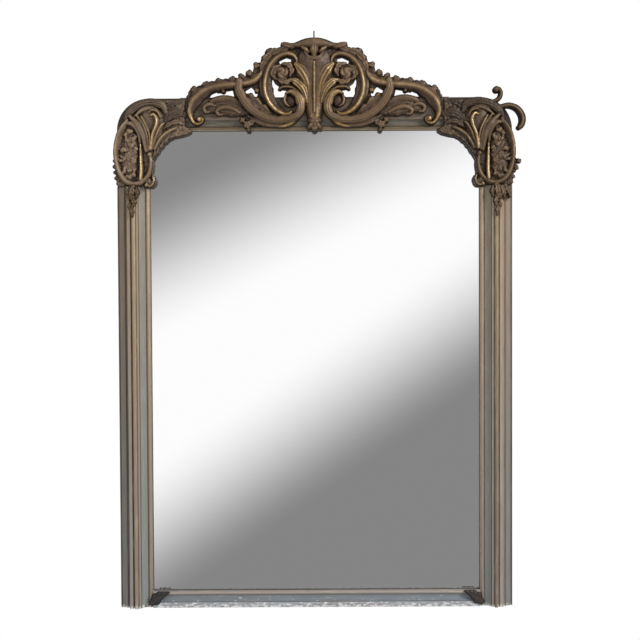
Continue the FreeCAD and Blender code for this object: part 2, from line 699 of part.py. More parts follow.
def build_fixings():
    """Make the hanging plates, the crest's batten and strap, and their screws."""
    x = f"hanger_inset - {HALF_WIDTH}"
    z = "frame_height - hanger_drop"
    plate = block("hanger_blank", (f"{x} - hanger_width / 2", "0", f"{z} - hanger_length / 2"),
                  ("hanger_width", "hanger_thickness", "hanger_length"))
    entry = rod("hook_entry", (x, "0", z), "hook_hole", "hanger_thickness")
    slot = block("hook_slot_cut", (f"{x} - hook_slot / 2", "0", z),
                 ("hook_slot", "hanger_thickness", "hook_rise - hook_slot / 2"))
    slot_end = rod("hook_slot_end", (x, "0", f"{z} + hook_rise - hook_slot / 2"),
                   "hook_slot", "hanger_thickness")
    reach = "hanger_length / 2 - screw_inset"
    upper = screw("hanger_upper_screw", x, "0", f"{z} + {reach}")
    lower = screw("hanger_lower_screw", x, "0", f"{z} - ({reach})")
    left = less("hanger", plate, [entry, slot, slot_end, upper, lower])
    keep(grouped("hangers", [left, mirrored("right_hanger", left)]), "hanging_plates")
    hanger_screws = [upper, lower, mirrored("right_upper_screw", upper),
                     mirrored("right_lower_screw", lower)]
    keep(grouped("hanger_screws", hanger_screws), "hanging_plate_screws")

    strap_drop = "(top_rail_width - board_rebate_width - strap_clearance)"
    strap = block("strap_plate", ("-strap_width / 2", "0", f"frame_height - {strap_drop}"),
                  ("strap_width", "hanger_thickness", f"strap_rise + {strap_drop}"))
    screws = {}
    for level, reach in (("low", f"-{strap_drop}"), ("high", "strap_rise")):
        sign = "+" if level == "low" else "-"
        for step, spot in (("end", f"{reach} {sign} screw_inset"), ("mid", f"{reach} * 0.4")):
            screws[level, step] = screw(f"strap_screw_{level}_{step}", "0", "0",
                                        f"frame_height + {spot}")
    keep(less("strap", strap, list(screws.values())), "crest_strap")
    keep(grouped("strap_screws", list(screws.values())), "crest_strap_screws")
    batten = block("spine_blank", ("-spine_width / 2", "0", "frame_height"),
                   ("spine_width", "carcass_depth", "spine_height"))
    high = [screws["high", step] for step in ("end", "mid")]
    keep(less("spine", batten, [strap] + high), "crest_spine")


def build_crest():
    """Carve the pierced crest; the right half is drawn and the left is its other hand."""
    bed = size(BED)
    rise = size("scroll_rise")

    def pair(name, shape):
        right = keep(carving(f"right_{name}", shape), f"crest_right_{name}")
        keep(mirrored(f"left_{name}", right), f"crest_left_{name}")

    # The ground is a plate with a scalloped edge, pierced down to the rail between the scrolls.
    def squares(*points):
        return [(f"{x} * crest_square" if x else "0", f"{z} * crest_square" if z else "0")
                for x, z in points]

    feet = squares((0, 0), (8.2, 0), (9.4, 3.4), (12.2, 4.8), (12.7, 7.4), (13.9, 7.2), (14.2, 3.2),
                   (13.2, 0), (17.4, 0), (18.6, 2.8), (21.4, 3.2), (22.0, 0), (26.0, 0), (26.6, 1.8),
                   (31.6, 1.9), (33.2, 0))
    rim = squares((40.2, 0), (39.3, 1.6), (37.9, 3.0), (35.6, 3.9), (32.6, 4.6), (29.6, 5.1), (26.8, 5.5),
                  (24.2, 6.0), (21.6, 7.0), (19.6, 8.2), (17.6, 10.6), (16.3, 12.2), (14.8, 14.2),
                  (12.2, 15.5), (10.0, 16.2), (7.6, 16.7), (5.0, 17.3), (2.6, 17.9), (0, 18.1))
    bulges = {number: ("3.0 * crest_square", 1) for number in range(len(feet), len(feet) + len(rim) - 1)}
    half = padded("ground_half", "XZ_Plane", feet + rim, "frieze_height", bulges)
    eyelet = outline(half, "eyelet", "XZ_Plane", squares((6.9, 10.2), (10.9, 10.6), (8.8, 11.7)))
    pocket = half.newObject("PartDesign::Pocket", "eyelet_cut")
    pocket.Profile = eyelet
    pocket.Type = "ThroughAll"
    pocket.Midplane = True
    place(half, "0", "-carcass_depth", "frame_height")
    keep(united("ground", [half, mirrored("other_ground", half)]), "crest_ground")

    c_scroll = carved_band(
        on_crest([(5.4, 11.4), (7.0, 13.2), (9.6, 13.6), (12.6, 12.2), (14.8, 9.0), (15.6, 5.0),
                  (15.0, 0.8), (12.8, -2.7), (9.8, -4.6), (7.4, -4.8)]),
        [0.35, 0.8, 1, 1, 1, 1, 1, 1, 0.8, 0.4], ridge_section,
        size("scroll_outer"), size("scroll_inner"), rise, bed)
    pair("c_scroll", c_scroll)
    raffle = carved_band(
        on_crest([(5.4, 16.2), (9.4, 16.2), (12.9, 14.9), (15.5, 12.7), (17.0, 10.6)]),
        [0.6, 1, 1, 0.9, 0.3], leaf_section,
        size("raffle_half * 1.5"), size("raffle_half"), size("leaf_rise"), bed, 4, 0.4)
    keep(both_hands("raffle", raffle), "crest_raffle_leaves")
    s_scroll = carved_band(
        on_crest([(17.8, 10.2), (18.3, 7.8), (19.7, 5.7), (22.3, 4.5), (26.0, 4.0), (29.4, 3.6),
                  (32.5, 2.7), (35.0, 1.2), (37.0, -0.4), (38.4, -2.2), (39.0, -4.2), (38.7, -6.2),
                  (37.5, -7.6), (36.0, -7.7), (35.2, -6.7), (35.6, -5.7), (36.4, -5.7)]),
        [0.4, 0.75, 1, 1, 1, 1, 1, 1, 0.95, 0.85, 0.7, 0.6, 0.52, 0.46, 0.4, 0.34, 0.28],
        ridge_section, size("long_scroll_outer"), size("long_scroll_inner"), rise, bed, 11, 0.4)
    pair("s_scroll", s_scroll)
    sweep = carved_band(
        on_crest([(6.0, -7.9), (10.5, -7.6), (15.0, -6.2), (19.0, -3.8), (22.4, -0.6), (24.0, 2.0)]),
        [0.4, 0.85, 1, 1, 1, 0.7], leaf_section,
        size("leaf_half"), size("leaf_half"), size("leaf_rise * 1.2"), bed, 5, 0.3)
    keep(both_hands("sweep", sweep), "crest_sweep_leaves")
    spray = carved_band(
        on_crest([(23.6, -5.4), (26.6, -4.0), (30.2, -3.4), (34.0, -3.4)]), [0.35, 0.95, 1, 0.4],
        leaf_section, size("spray_half"), size("spray_half"), size("leaf_rise"), bed, 3, 0.35)
    keep(both_hands("frieze_spray", spray), "crest_frieze_sprays")
    volute = carved_band(
        on_crest([(3.9, -8.0), (3.6, -4.6), (4.3, -1.0), (6.2, 1.3), (8.2, 0.9), (8.9, -0.7),
                  (8.0, -2.2), (6.8, -1.7), (7.0, -0.8)]),
        [0.7, 1, 1, 1, 0.85, 0.75, 0.6, 0.5, 0.4], ridge_section,
        size("volute_half"), size("volute_half"), rise, bed)
    keep(both_hands("base_volute", volute), "crest_base_volutes")
    flower = carving("flower", rosette(on_crest([(9.5, 7.9)])[0], size("flower_radius"), 5,
                                       size("flower_rise"), bed))
    boss = carving("boss", rosette(on_crest([(0.0, -7.9)])[0], size("boss_radius"), 6,
                                   size("boss_rise"), bed))
    keep(grouped("rosettes", [flower, mirrored("other_flower", flower), boss]), "crest_rosettes")

    # The palmette is a fan of seven flutes, with a frond on either side.
    wires = []
    lobes = 7
    square = size("crest_square")
    for level, half, share in ((-5.4, 1.4, 0.5), (-3.0, 1.8, 0.7), (1.0, 2.7, 0.9), (5.0, 4.2, 1.0),
                               (9.0, 5.0, 1.0), (12.0, 5.4, 0.85)):
        up = size("palmette_rise") * share
        z = size("frame_height - crest_lap") + level * square
        wide = half * square

        def at(across, lift, z=z, wide=wide, up=up):
            return Vector(across * wide, -bed - lift * up, z)

        swell = 0.8 * wide / lobes / up
        section = [(-1, 0), (-1, 0.5)]
        for lobe in range(lobes):
            middle = -1 + (2 * lobe + 1) / lobes
            end = -1 + 2 * (lobe + 1) / lobes
            section += [(middle, 0.5 + 0.3 * (1 - abs(middle)) + swell),
                        (end, 0.5 + 0.3 * (1 - abs(end)))]
        section.append((1, 0))
        wires.append(wire_of(section, at))
    fan = solid_of(Part.makeLoft(wires, True, False))
    frond = carved_band(on_crest([(1.0, -1.4), (2.6, 1.2), (4.7, 3.0), (7.4, 3.7)]),
                        [0.7, 1, 1, 0.45], round_section, size("reed_half"), size("reed_half"),
                        size("palmette_rise * 0.8"), bed)
    other = frond.mirror(Vector(0, 0, 0), Vector(1, 0, 0))
    keep(carving("palmette", joined([fan, frond, other])), "crest_palmette")

    rim = carved_band(on_crest([(-5.0, 16.6), (-2.6, 17.6), (0.0, 18.0), (2.6, 17.6), (5.0, 16.6)]),
                      [0.7, 0.9, 1, 0.9, 0.7], round_section, size("cap_half"), size("cap_half * 1.6"),
                      size("cap_rise"), bed)
    lip = carved_band(on_crest([(-4.2, 15.6), (-2.8, 13.9), (0.0, 13.1), (2.8, 13.9), (4.2, 15.6)]),
                      [0.7, 0.9, 1, 0.9, 0.7], round_section, size("cap_half * 0.9"),
                      size("cap_half * 0.8"), size("cap_rise * 0.8"), bed)
    pin = doc.addObject("Part::Cylinder", "pin")
    pin.setExpression("Radius", bound("pin_diameter / 2"))
    pin.setExpression("Height", bound("pin_length"))
    place(pin, "0", f"-{BED} - cap_rise / 5",
          "frame_height - crest_lap + 18 * crest_square + cap_half - pin_grip")
    blank = carving("cap_blank", joined([rim, lip]))
    keep(less("cap", blank, [pin]), "crest_cap_leaf")
    keep(pin, "crest_pin")


def build_corners():
    """Carve the corner cartouches, the husk drops and the leaves at the foot."""
    bed = size(BED)

    def pair(name, shape):
        left = keep(carving(f"left_{name}", shape), f"left_corner_{name}")
        keep(mirrored(f"right_{name}_copy", left), f"right_corner_{name}")

    ring = carved_band(
        on_corner([(10.0, -18.0), (9.9, -21.4), (9.1, -24.2), (7.4, -26.2), (5.0, -27.0),
                   (2.6, -25.7), (0.8, -23.0), (-0.3, -19.4), (-0.4, -14.8), (0.9, -10.4),
                   (3.2, -7.2)]),
        [0.7, 0.9, 1, 1, 1, 1, 1, 1, 1, 0.9, 0.5], ridge_section,
        size("ring_half"), size("ring_half"), size("ring_rise"), bed)
    reed = carved_band(on_corner([(7.0, -14.0), (7.5, -19.0), (7.2, -25.8)]), [0.5, 0.8, 1],
                       round_section, size("reed_half"), size("reed_half"), size("ring_rise"), bed)
    pair("cartouche", joined([ring, reed]))

    spots = ((3.8, -10.4, 0.8), (4.2, -13.6, 1.0), (2.9, -17.0, 1.0), (4.4, -20.2, 1.0),
             (4.2, -23.3, 0.8))
    blossoms = [rosette(on_corner([(x, z)])[0], size("blossom_radius") * share, 5,
                        size("blossom_rise") * share, bed, 0.5 * number)
                for number, (x, z, share) in enumerate(spots)]
    cluster = carving("blossoms", Part.makeCompound(blossoms))
    keep(grouped("blossom_pair", [cluster, mirrored("other_blossoms", cluster)]), "corner_flowers")

    hood = carved_band(
        on_corner([(10.2, -16.4), (9.4, -12.4), (8.1, -8.2), (5.9, -5.2), (3.6, -4.4)]),
        [0.5, 1, 1, 0.9, 0.5], leaf_section,
        size("hood_half"), size("hood_half"), size("leaf_rise * 1.2"), bed, 3, 0.2)
    frond = carved_band(
        on_corner([(11.0, -15.6), (11.6, -11.0), (12.2, -7.6), (12.2, -5.4), (11.2, -4.4)]),
        [0.5, 0.9, 1, 0.8, 0.5], ridge_section,
        size("curl_half"), size("curl_half"), size("leaf_rise * 1.4"), bed)
    pair("fan", joined([hood, frond]))
    edge = carved_band(
        on_corner([(21.6, -10.4), (18.4, -11.2), (15.2, -12.8), (12.9, -15.6), (11.8, -18.2)]),
        [0.4, 1, 1, 1, 0.5], leaf_section,
        size("curl_half * 1.4"), size("curl_half * 1.4"), size("leaf_rise"), bed, 5, 0.4)
    keep(both_hands("edge_leaf", edge), "corner_edge_leaves")
    spray = carved_band(
        on_corner([(14.2, -10.2), (15.4, -7.4), (17.2, -4.8), (19.4, -2.6)]), [0.6, 1, 1, 0.6],
        leaf_section, size("spray_half * 0.9"), size("spray_half * 0.9"), size("leaf_rise"), bed, 4, 0.35)
    keep(both_hands("corner_spray", spray), "corner_sprays")
    knob = carved_band(
        on_corner([(12.6, -24.4), (12.3, -26.6), (10.9, -27.9), (9.6, -27.0), (9.9, -25.7), (10.8, -25.8)]),
        [0.4, 1, 1, 0.9, 0.75, 0.6], ridge_section,
        size("knob_half"), size("knob_half"), size("ring_rise"), bed)
    keep(both_hands("knob", knob), "corner_volutes")

    drop = carved_band(
        on_corner([(4.7, -28.4), (4.8, -31.4), (4.8, -34.4), (4.7, -38.0)]), [1, 0.9, 0.8, 0.35],
        round_section, size("husk_half"), size("husk_half"), size("husk_rise"),
        size("carcass_depth + fillet_height"), 3, 0.4)
    husk = less("husk_drop", carving("husk_blank", drop), [doc.getObject("stile_moulding")])
    keep(grouped("husk_drops", [husk, mirrored("other_husk_drop", husk)]), "husk_drops")

    # The free curls survive at the right corner only.
    square = size("corner_square")

    def right_corner(points):
        return [(-x, z) for x, z in on_corner(points)]

    upper = carved_band(
        right_corner([(6.2, -2.6), (4.9, -0.4), (4.2, 1.6), (4.9, 2.9), (6.1, 2.4)]),
        [0.7, 1, 0.9, 0.7, 0.4], ridge_section,
        size("curl_half"), size("curl_half"), size("leaf_rise"), bed)
    keep(carving("upper_curl", upper), "right_corner_upper_curl")
    outer = carved_band(
        right_corner([(2.6, -3.2), (0.9, -3.3), (-1.2, -3.9), (-2.7, -5.4), (-3.1, -7.6), (-1.9, -9.4)]),
        [0.6, 1, 1, 1, 0.9, 0.4], ridge_section,
        size("curl_half * 1.2"), size("curl_half * 1.1"), size("leaf_rise"), bed)
    keep(carving("outer_curl", outer), "right_corner_outer_curl")

    sight = -size(HALF_SIGHT)
    leaf = carved_band([(sight + x * square, z * square)
                        for x, z in ((-0.2, 1.6), (1.4, 3.2), (3.2, 4.2), (5.2, 4.8))],
                       [0.6, 1, 0.9, 0.35], leaf_section,
                       size("foot_leaf_half"), size("foot_leaf_half"), size("foot_leaf_rise"),
                       size("carcass_depth + band_height"), 3, 0.3)
    keep(both_hands("foot_leaf", leaf), "lower_corner_leaves")


def check():
    """Stop if any object has failed or any sub-part is not a sound solid."""
    for item in doc.Objects:
        if "Invalid" in item.State or "Error" in item.State:
            raise RuntimeError(f"{item.Name} has failed")
    for item in sub_parts:
        if item.Shape.isNull() or not item.Shape.isValid() or not item.Shape.Solids:
            raise RuntimeError(f"{item.Label} is not a sound solid")


build_fixings()
build_glass_and_back()
build_carcass()
build_mouldings()
build_crest()
build_corners()
doc.recompute()
check()
os.makedirs("parts", exist_ok=True)
for item in sub_parts:
    item.Shape.exportStep(f"parts/{item.Label}.step")
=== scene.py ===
"""Looks of a carved, painted and parcel-gilt overmantel mirror, dressed over its CAD frame.

The scene is in metres; the tables of sizes are in millimetres and the carver's drawings in
squares of ten millimetres. x runs along the shelf, +z is up and the front faces -y.
"""

import json
import logging
import math
from copy import copy
from dataclasses import dataclass, field
from enum import Enum
from functools import partial
from typing import Any, Iterable, Sequence

import bpy
import numpy as np
from mathutils import Matrix, Vector
from mathutils.geometry import tessellate_polygon

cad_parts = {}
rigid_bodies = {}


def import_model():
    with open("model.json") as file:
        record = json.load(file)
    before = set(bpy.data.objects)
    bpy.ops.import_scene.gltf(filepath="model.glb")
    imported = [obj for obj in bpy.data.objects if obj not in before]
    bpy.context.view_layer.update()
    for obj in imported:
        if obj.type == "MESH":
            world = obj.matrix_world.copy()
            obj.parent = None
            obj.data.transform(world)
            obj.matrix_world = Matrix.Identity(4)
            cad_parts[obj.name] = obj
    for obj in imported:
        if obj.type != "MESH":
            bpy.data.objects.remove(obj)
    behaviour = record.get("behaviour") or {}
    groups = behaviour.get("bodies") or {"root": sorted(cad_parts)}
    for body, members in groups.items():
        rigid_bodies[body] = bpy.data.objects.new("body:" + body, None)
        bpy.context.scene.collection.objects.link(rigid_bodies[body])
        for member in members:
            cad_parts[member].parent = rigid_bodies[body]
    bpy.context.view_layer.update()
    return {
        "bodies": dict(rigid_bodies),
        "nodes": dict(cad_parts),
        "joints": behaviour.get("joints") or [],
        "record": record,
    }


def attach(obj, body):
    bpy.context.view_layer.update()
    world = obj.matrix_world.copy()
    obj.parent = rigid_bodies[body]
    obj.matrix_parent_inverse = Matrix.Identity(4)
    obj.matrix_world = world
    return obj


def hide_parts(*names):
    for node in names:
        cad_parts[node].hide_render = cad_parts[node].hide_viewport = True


LOG = logging.getLogger("overmantel")
MM = 0.001
SQUARE = 10.0

# Sizes of the frame, and depths in front of the wall: the carcass's face and the carving's bed.
HALF_WIDTH = 620.0
HALF_SIGHT = 518.0
FRAME_TOP = 1605.0
CARCASS = 30.0
BED = 44.0

Points = Sequence[tuple[float, float]]
Socket = bpy.types.NodeSocket

# Nodes that every finish uses, with settings for a smooth rise between two values and a mix of two colours.
MATH = "ShaderNodeMath"
RANGE = "ShaderNodeMapRange"
MIX = "ShaderNodeMix"
SMOOTH = {"interpolation_type": "SMOOTHSTEP"}
BLEND = {"data_type": "RGBA", "output": 2}


# Colour and nodes


def linear(code: str) -> tuple[float, float, float, float]:
    """Turn a hex sRGB colour into linear light.

    Args:
        code: Six hex digits after a hash.

    Returns:
        Red, green and blue in linear light, and full opacity.
    """
    values = [int(code[i : i + 2], 16) / 255 for i in (1, 3, 5)]
    light = [v / 12.92 if v <= 0.04045 else ((v + 0.055) / 1.055) ** 2.4 for v in values]
    return (*light, 1.0)


def add_node(tree: bpy.types.NodeTree, kind: str, inputs: Sequence | dict = (), output: int | str = 0,
             stops: Sequence[tuple[float, str]] = (), **settings: Any) -> Socket | None:
    """Add a node, set its properties, and fill or link its inputs.

    Args:
        tree: The tree to add to.
        kind: The node's type.
        inputs: Values, hex colours or sockets, in order or by the input's name or number.
        output: Name or number of the output that is wanted.
        stops: Places and hex colours, for a node with a ramp.
        settings: Properties of the node itself.

    Returns:
        That output, or None if the node has no outputs.
    """
    node = tree.nodes.new(kind)
    for key, value in settings.items():
        setattr(node, key, value)
    given = inputs if isinstance(inputs, dict) else dict(enumerate(inputs))
    for key, value in given.items():
        if isinstance(value, Socket):
            tree.links.new(value, node.inputs[key])
        else:
            node.inputs[key].default_value = linear(value) if isinstance(value, str) else value
    for number, (spot, code) in enumerate(stops):
        if number >= len(node.color_ramp.elements):
            node.color_ramp.elements.new(spot)
        node.color_ramp.elements[number].position = spot
        node.color_ramp.elements[number].color = linear(code)
    return node.outputs[output] if node.outputs else None


class Shade:
    """A material under construction, with the few patterns and sums that its finishes share."""

    def __init__(self, name: str) -> None:
        """Start an empty material.

        Args:
            name: Its name.
        """
        self.material = bpy.data.materials.new(name)
        self.material.use_nodes = True
        self.material.node_tree.nodes.clear()
        self.add = partial(add_node, self.material.node_tree)
        self.place = self.add("ShaderNodeTexCoord", output="Object")

    def grain(self, size_mm: float, detail: float = 3.0, rough: float = 0.55,
              stretch: Sequence[float] = (1.0, 1.0, 1.0)) -> Socket:
        """Lay a pattern of blotches over the object, drawn out along the axes.

        Args:
            size_mm: Width of a blotch.
            detail: Number of finer layers.
            rough: Weight of the finer layers.
            stretch: Scale along each axis; a small one draws the blotches out.

        Returns:
            The pattern, from 0 to 1.
        """
        at = self.add("ShaderNodeMapping", {"Vector": self.place, "Scale": stretch})
        return self.add("ShaderNodeTexNoise", {"Vector": at, "Scale": 1 / (size_mm * MM), "Detail": detail,
                                               "Roughness": rough})

    def swayed(self, value: Any, pattern: Socket, amount: float, clamp: bool = False) -> Socket:
        """Let a pattern move a value up and down about its middle.

        Args:
            value: The value, or its socket.
            pattern: Moves it from 0 to 1.
            amount: How far it moves in all.
            clamp: Whether the result stays between 0 and 1.

        Returns:
            The moved value.
        """
        around = self.add(MATH, (pattern, 0.5), operation="SUBTRACT")
        return self.add(MATH, (around, amount, value), operation="MULTIPLY_ADD", use_clamp=clamp)

    def finish(self, colour: Any, rough: Any, metal: Any = 0.0, height: Any = None,
               depth_mm: float = 0.3, strength: float = 1.0) -> bpy.types.Material:
        """Close the material with one surface shader.

        Args:
            colour: Base colour.
            rough: Roughness.
            metal: Metallic share.
            height: Relief of the surface from 0 to 1, if it has any.
            depth_mm: Depth of that relief.
            strength: Share of the relief that shows.

        Returns:
            The finished material.
        """
        inputs = {"Base Color": colour, "Roughness": rough, "Metallic": metal}
        if height is not None:
            inputs["Normal"] = self.add("ShaderNodeBump", {"Height": height, "Distance": depth_mm * MM,
                                                           "Strength": strength})
        surface = self.add("ShaderNodeBsdfPrincipled", inputs)
        self.add("ShaderNodeOutputMaterial", {"Surface": surface})
        return self.material


# Finishes


@dataclass(frozen=True)
class BronzedCarving:
    """Brown bronze paint over carved gesso, with oil-gilt ridges rubbed thin in places."""

    # The paint looks soft and nearly dull, painted darker in the hollows as shade; only the rubbed ridges
    # gleam.
    name: str = "bronzed_carving_parcel_gilt"
    hollow: str = "#291d14"
    shade: str = "#463529"
    body: str = "#68523e"
    worn: str = "#947858"
    olive: str = "#5a4a2c"
    gold: str = "#a68348"
    pale_gold: str = "#dcc094"
    bole: str = "#6e3f2b"

    def material(self) -> bpy.types.Material:
        """Build the finish; it reads the carving's own gilt and cavity values.

        Returns:
            The material.
        """
        shade = Shade(self.name)
        cavity = shade.add("ShaderNodeAttribute", output="Fac", attribute_name="cavity")
        gilt = shade.add("ShaderNodeAttribute", output="Fac", attribute_name="gilt")
        blotch = shade.grain(24.0, 4.0)
        # Brush marks are finer than this; they are drawn this coarse so that they show.
        fine = shade.grain(3.0, 4.0, 0.65)
        # Paint: painted shade in the hollows, painted highlight on the ridges, and olive patches.
        tone = shade.swayed(shade.swayed(cavity, blotch, 0.3), fine, 0.2)
        # Gilt below zero darkens the paint there: painted shade.
        darkening = shade.add(MATH, (gilt, 0.0), operation="MINIMUM")
        tone = shade.add(MATH, (darkening, 0.5, tone), operation="MULTIPLY_ADD")
        # The darkest stop lies in the hollows as painted shade; the lightest, on the ridges, is rubbed paint
        # and painted highlight.
        stops = ((0.0, self.hollow), (0.3, self.shade), (0.55, self.body), (0.95, self.worn))
        paint = shade.add("ShaderNodeValToRGB", (tone,), stops=stops)
        patches = shade.add(RANGE, (shade.grain(60.0, 2.0), 0.48, 0.68, 0.0, 0.4), **SMOOTH)
        paint = shade.add(MIX, {0: patches, 6: paint, 7: self.olive}, **BLEND)
        # Gold leaf where gilt ridges stand high, in part a painted highlight; worn through to red clay in
        # spots.
        worn = shade.swayed(shade.swayed(gilt, blotch, 0.7), fine, 0.35)
        gilded = shade.add(RANGE, (gilt, 0.03, 0.2), **SMOOTH)
        worn = shade.add(MATH, (worn, gilded), operation="MULTIPLY")
        kept = shade.add(RANGE, (worn, 0.15, 0.95), **SMOOTH)
        high = shade.add(RANGE, (cavity, 0.3, 0.62), **SMOOTH)
        leaf = shade.add(MATH, (kept, high), operation="MULTIPLY")
        # The gold is painted paler on the ridges as highlight and darker in the hollows as shade, with
        # blotches.
        bright = shade.swayed(shade.grain(10.0), cavity, 0.9)
        bright = shade.add(RANGE, (bright, 0.5, 1.0), **SMOOTH)
        gold = shade.add(MIX, {0: bright, 6: self.gold, 7: self.pale_gold}, **BLEND)
        clay = shade.add(RANGE, (shade.grain(14.0, 3.0, 0.6), 0.62, 0.7, 0.0, 0.6), **SMOOTH)
        gold = shade.add(MIX, {0: clay, 6: gold, 7: self.bole}, **BLEND)
        colour = shade.add(MIX, {0: leaf, 6: paint, 7: gold}, **BLEND)
        rough = shade.add(MATH, (leaf, -0.14, 0.5), operation="MULTIPLY_ADD")
        metal = shade.add(MATH, (leaf, 0.25, 0.25), operation="MULTIPLY_ADD")
        return shade.finish(colour, rough, metal, fine, 0.4, 0.6)


@dataclass(frozen=True)
class PaintedGesso:
    """Grey paint on gessoed mouldings, browned by smoke towards the top, with gilt beads and chips."""

    # Old distemper looks chalky and flat; the beads keep a dull shine and bare gesso shows white.
    name: str = "painted_gesso"
    greys: tuple[str, ...] = ("#484543", "#73706c", "#918d88", "#aba299")
    browns: tuple[str, ...] = ("#574735", "#7f6c57", "#98846c", "#b39d83")
    spots: tuple[float, ...] = (0.02, 0.3, 0.6, 0.95)
    cool: str = "#8e9591"
    smoked_cool: str = "#958a7a"
    gold: str = "#a79588"
    high_gold: str = "#b5a183"
    rubbed_gold: str = "#d3c19d"
    olive: str = "#54452e"
    gesso: str = "#dcd7ce"
    streak: str = "#b1b3ad"
    green_stain: str = "#787c6a"
    red_stain: str = "#96796c"
    scuffed: float = 0.66
    grain: tuple[float, float, float] = (1.0, 1.0, 0.1)

    def material(self) -> bpy.types.Material:
        """Build the finish; it reads tone, cool, gilt and chip from the moulding's points.

        Returns:
            The material.
        """
        shade = Shade(self.name)
        tone, cool, gilt, chip = (shade.add("ShaderNodeAttribute", output="Fac", attribute_name=key)
                                  for key in ("tone", "cool", "gilt", "chip"))
        height_up = shade.add("ShaderNodeSeparateXYZ", (shade.place,), output=2)
        streak = shade.grain(8.0, 4.0, 0.6, self.grain)
        # Brush marks are finer than this; they are drawn this coarse so that they show.
        fine = shade.grain(2.4, 4.0, 0.65)
        # Paint: grey at the foot and brown above, stained, with cool grey in the hollows.
        rising = shade.add(RANGE, (height_up, -0.1, 1.45), **SMOOTH)
        smoke = shade.swayed(rising, shade.grain(45.0), 0.5, clamp=True)
        # The tone includes painted light and shade from the sections, as well as the paint's own shades.
        value = shade.swayed(shade.swayed(tone, streak, 0.35), fine, 0.2)
        grey, brown = (shade.add("ShaderNodeValToRGB", (value,), stops=list(zip(self.spots, codes)))
                       for codes in (self.greys, self.browns))
        paint = shade.add(MIX, {0: smoke, 6: grey, 7: brown}, **BLEND)
        for stain, size in ((self.green_stain, 14.0), (self.red_stain, 19.0)):
            seen = shade.grain(size, 3.0, 0.6, self.grain)
            seen = shade.add(RANGE, (seen, 0.5, 0.68, 0.0, 0.3), **SMOOTH)
            paint = shade.add(MIX, {0: seen, 6: paint, 7: stain}, **BLEND)
        blue = shade.add(MIX, {0: smoke, 6: self.cool, 7: self.smoked_cool}, **BLEND)
        pale = shade.add(RANGE, (streak, 0.45, 0.72, 0.0, 0.3), **SMOOTH)
        blue = shade.add(MIX, {0: pale, 6: blue, 7: self.streak}, **BLEND)
        paint = shade.add(MIX, {0: cool, 6: paint, 7: blue}, **BLEND)
        # Gold leaf on the beads, worn along the grain.
        worn = shade.swayed(shade.swayed(gilt, streak, 0.5), fine, 0.4)
        gilded = shade.add(RANGE, (gilt, 0.04, 0.2), **SMOOTH)
        worn = shade.add(MATH, (worn, gilded), operation="MULTIPLY")
        leaf = shade.add(RANGE, (worn, 0.25, 0.75), **SMOOTH)
        gold = shade.add(MIX, {0: smoke, 6: self.gold, 7: self.high_gold}, **BLEND)
        # The gold darkens to olive with the tone, so it carries the tones' painted shade too.
        gold_tone = shade.add(RANGE, (value, 0.0, 0.85), **SMOOTH)
        gold = shade.add(MIX, {0: gold_tone, 6: self.olive, 7: gold}, **BLEND)
        rubbed = shade.add(RANGE, (streak, 0.52, 0.75, 0.0, 0.4), **SMOOTH)
        gold = shade.add(MIX, {0: rubbed, 6: gold, 7: self.rubbed_gold}, **BLEND)
        colour = shade.add(MIX, {0: leaf, 6: paint, 7: gold}, **BLEND)
        # Chips down to the white gesso, most of all at the foot.
        flakes = shade.grain(6.0, 5.0, 0.7, [share**0.5 for share in self.grain])
        foot = shade.add(RANGE, (height_up, 0.026, 0.002, 0.0, self.scuffed), **SMOOTH)
        chip = shade.swayed(shade.add(MATH, (chip, foot), operation="ADD"), flakes, 1.8)
        bare = shade.add(RANGE, (chip, 0.6, 0.72), **SMOOTH)
        colour = shade.add(MIX, {0: bare, 6: colour, 7: self.gesso}, **BLEND)
        rough = shade.add(MATH, (leaf, -0.15, 0.6), operation="MULTIPLY_ADD")
        metal = shade.add(MATH, (leaf, 0.25), operation="MULTIPLY")
        height = shade.add(MATH, (bare, -0.6, fine), operation="MULTIPLY_ADD")
        return shade.finish(colour, rough, metal, height, 0.3, 0.5)


@dataclass(frozen=True)
class SilveredPlate:
    """Old mirror glass: silvered, a little grey, with foxing near its edges."""

    # Silver gives a sharp reflection; it turns dull and brown where damp has crept in.
    name: str = "silvered_mirror_glass"
    silver: str = "#fcfdfc"
    fox: str = "#5d564c"

    def material(self) -> bpy.types.Material:
        """Build the finish; the foxing gathers where the plate meets the frame.

        Returns:
            The material.
        """
        shade = Shade(self.name)
        across, _, up = shade.add("ShaderNodeSeparateXYZ", (shade.place,)).node.outputs
        aside = shade.add(MATH, (across,), operation="ABSOLUTE")
        side = shade.add(RANGE, (aside, 0.49, 0.53), **SMOOTH)
        foot = shade.add(RANGE, (up, 0.085, 0.05), **SMOOTH)
        edge = shade.add(MATH, (side, foot), operation="MAXIMUM")
        damp = shade.add(MATH, (shade.grain(6.0, 5.0, 0.7), edge), operation="MULTIPLY")
        spots = shade.add(RANGE, (damp, 0.5, 0.62), **SMOOTH)
        colour = shade.add(MIX, {0: spots, 6: self.silver, 7: self.fox}, **BLEND)
        rough = shade.add(MATH, (spots, 0.35, 0.02), operation="MULTIPLY_ADD")
        return shade.finish(colour, rough, shade.add(MATH, (1.0, spots), operation="SUBTRACT"))


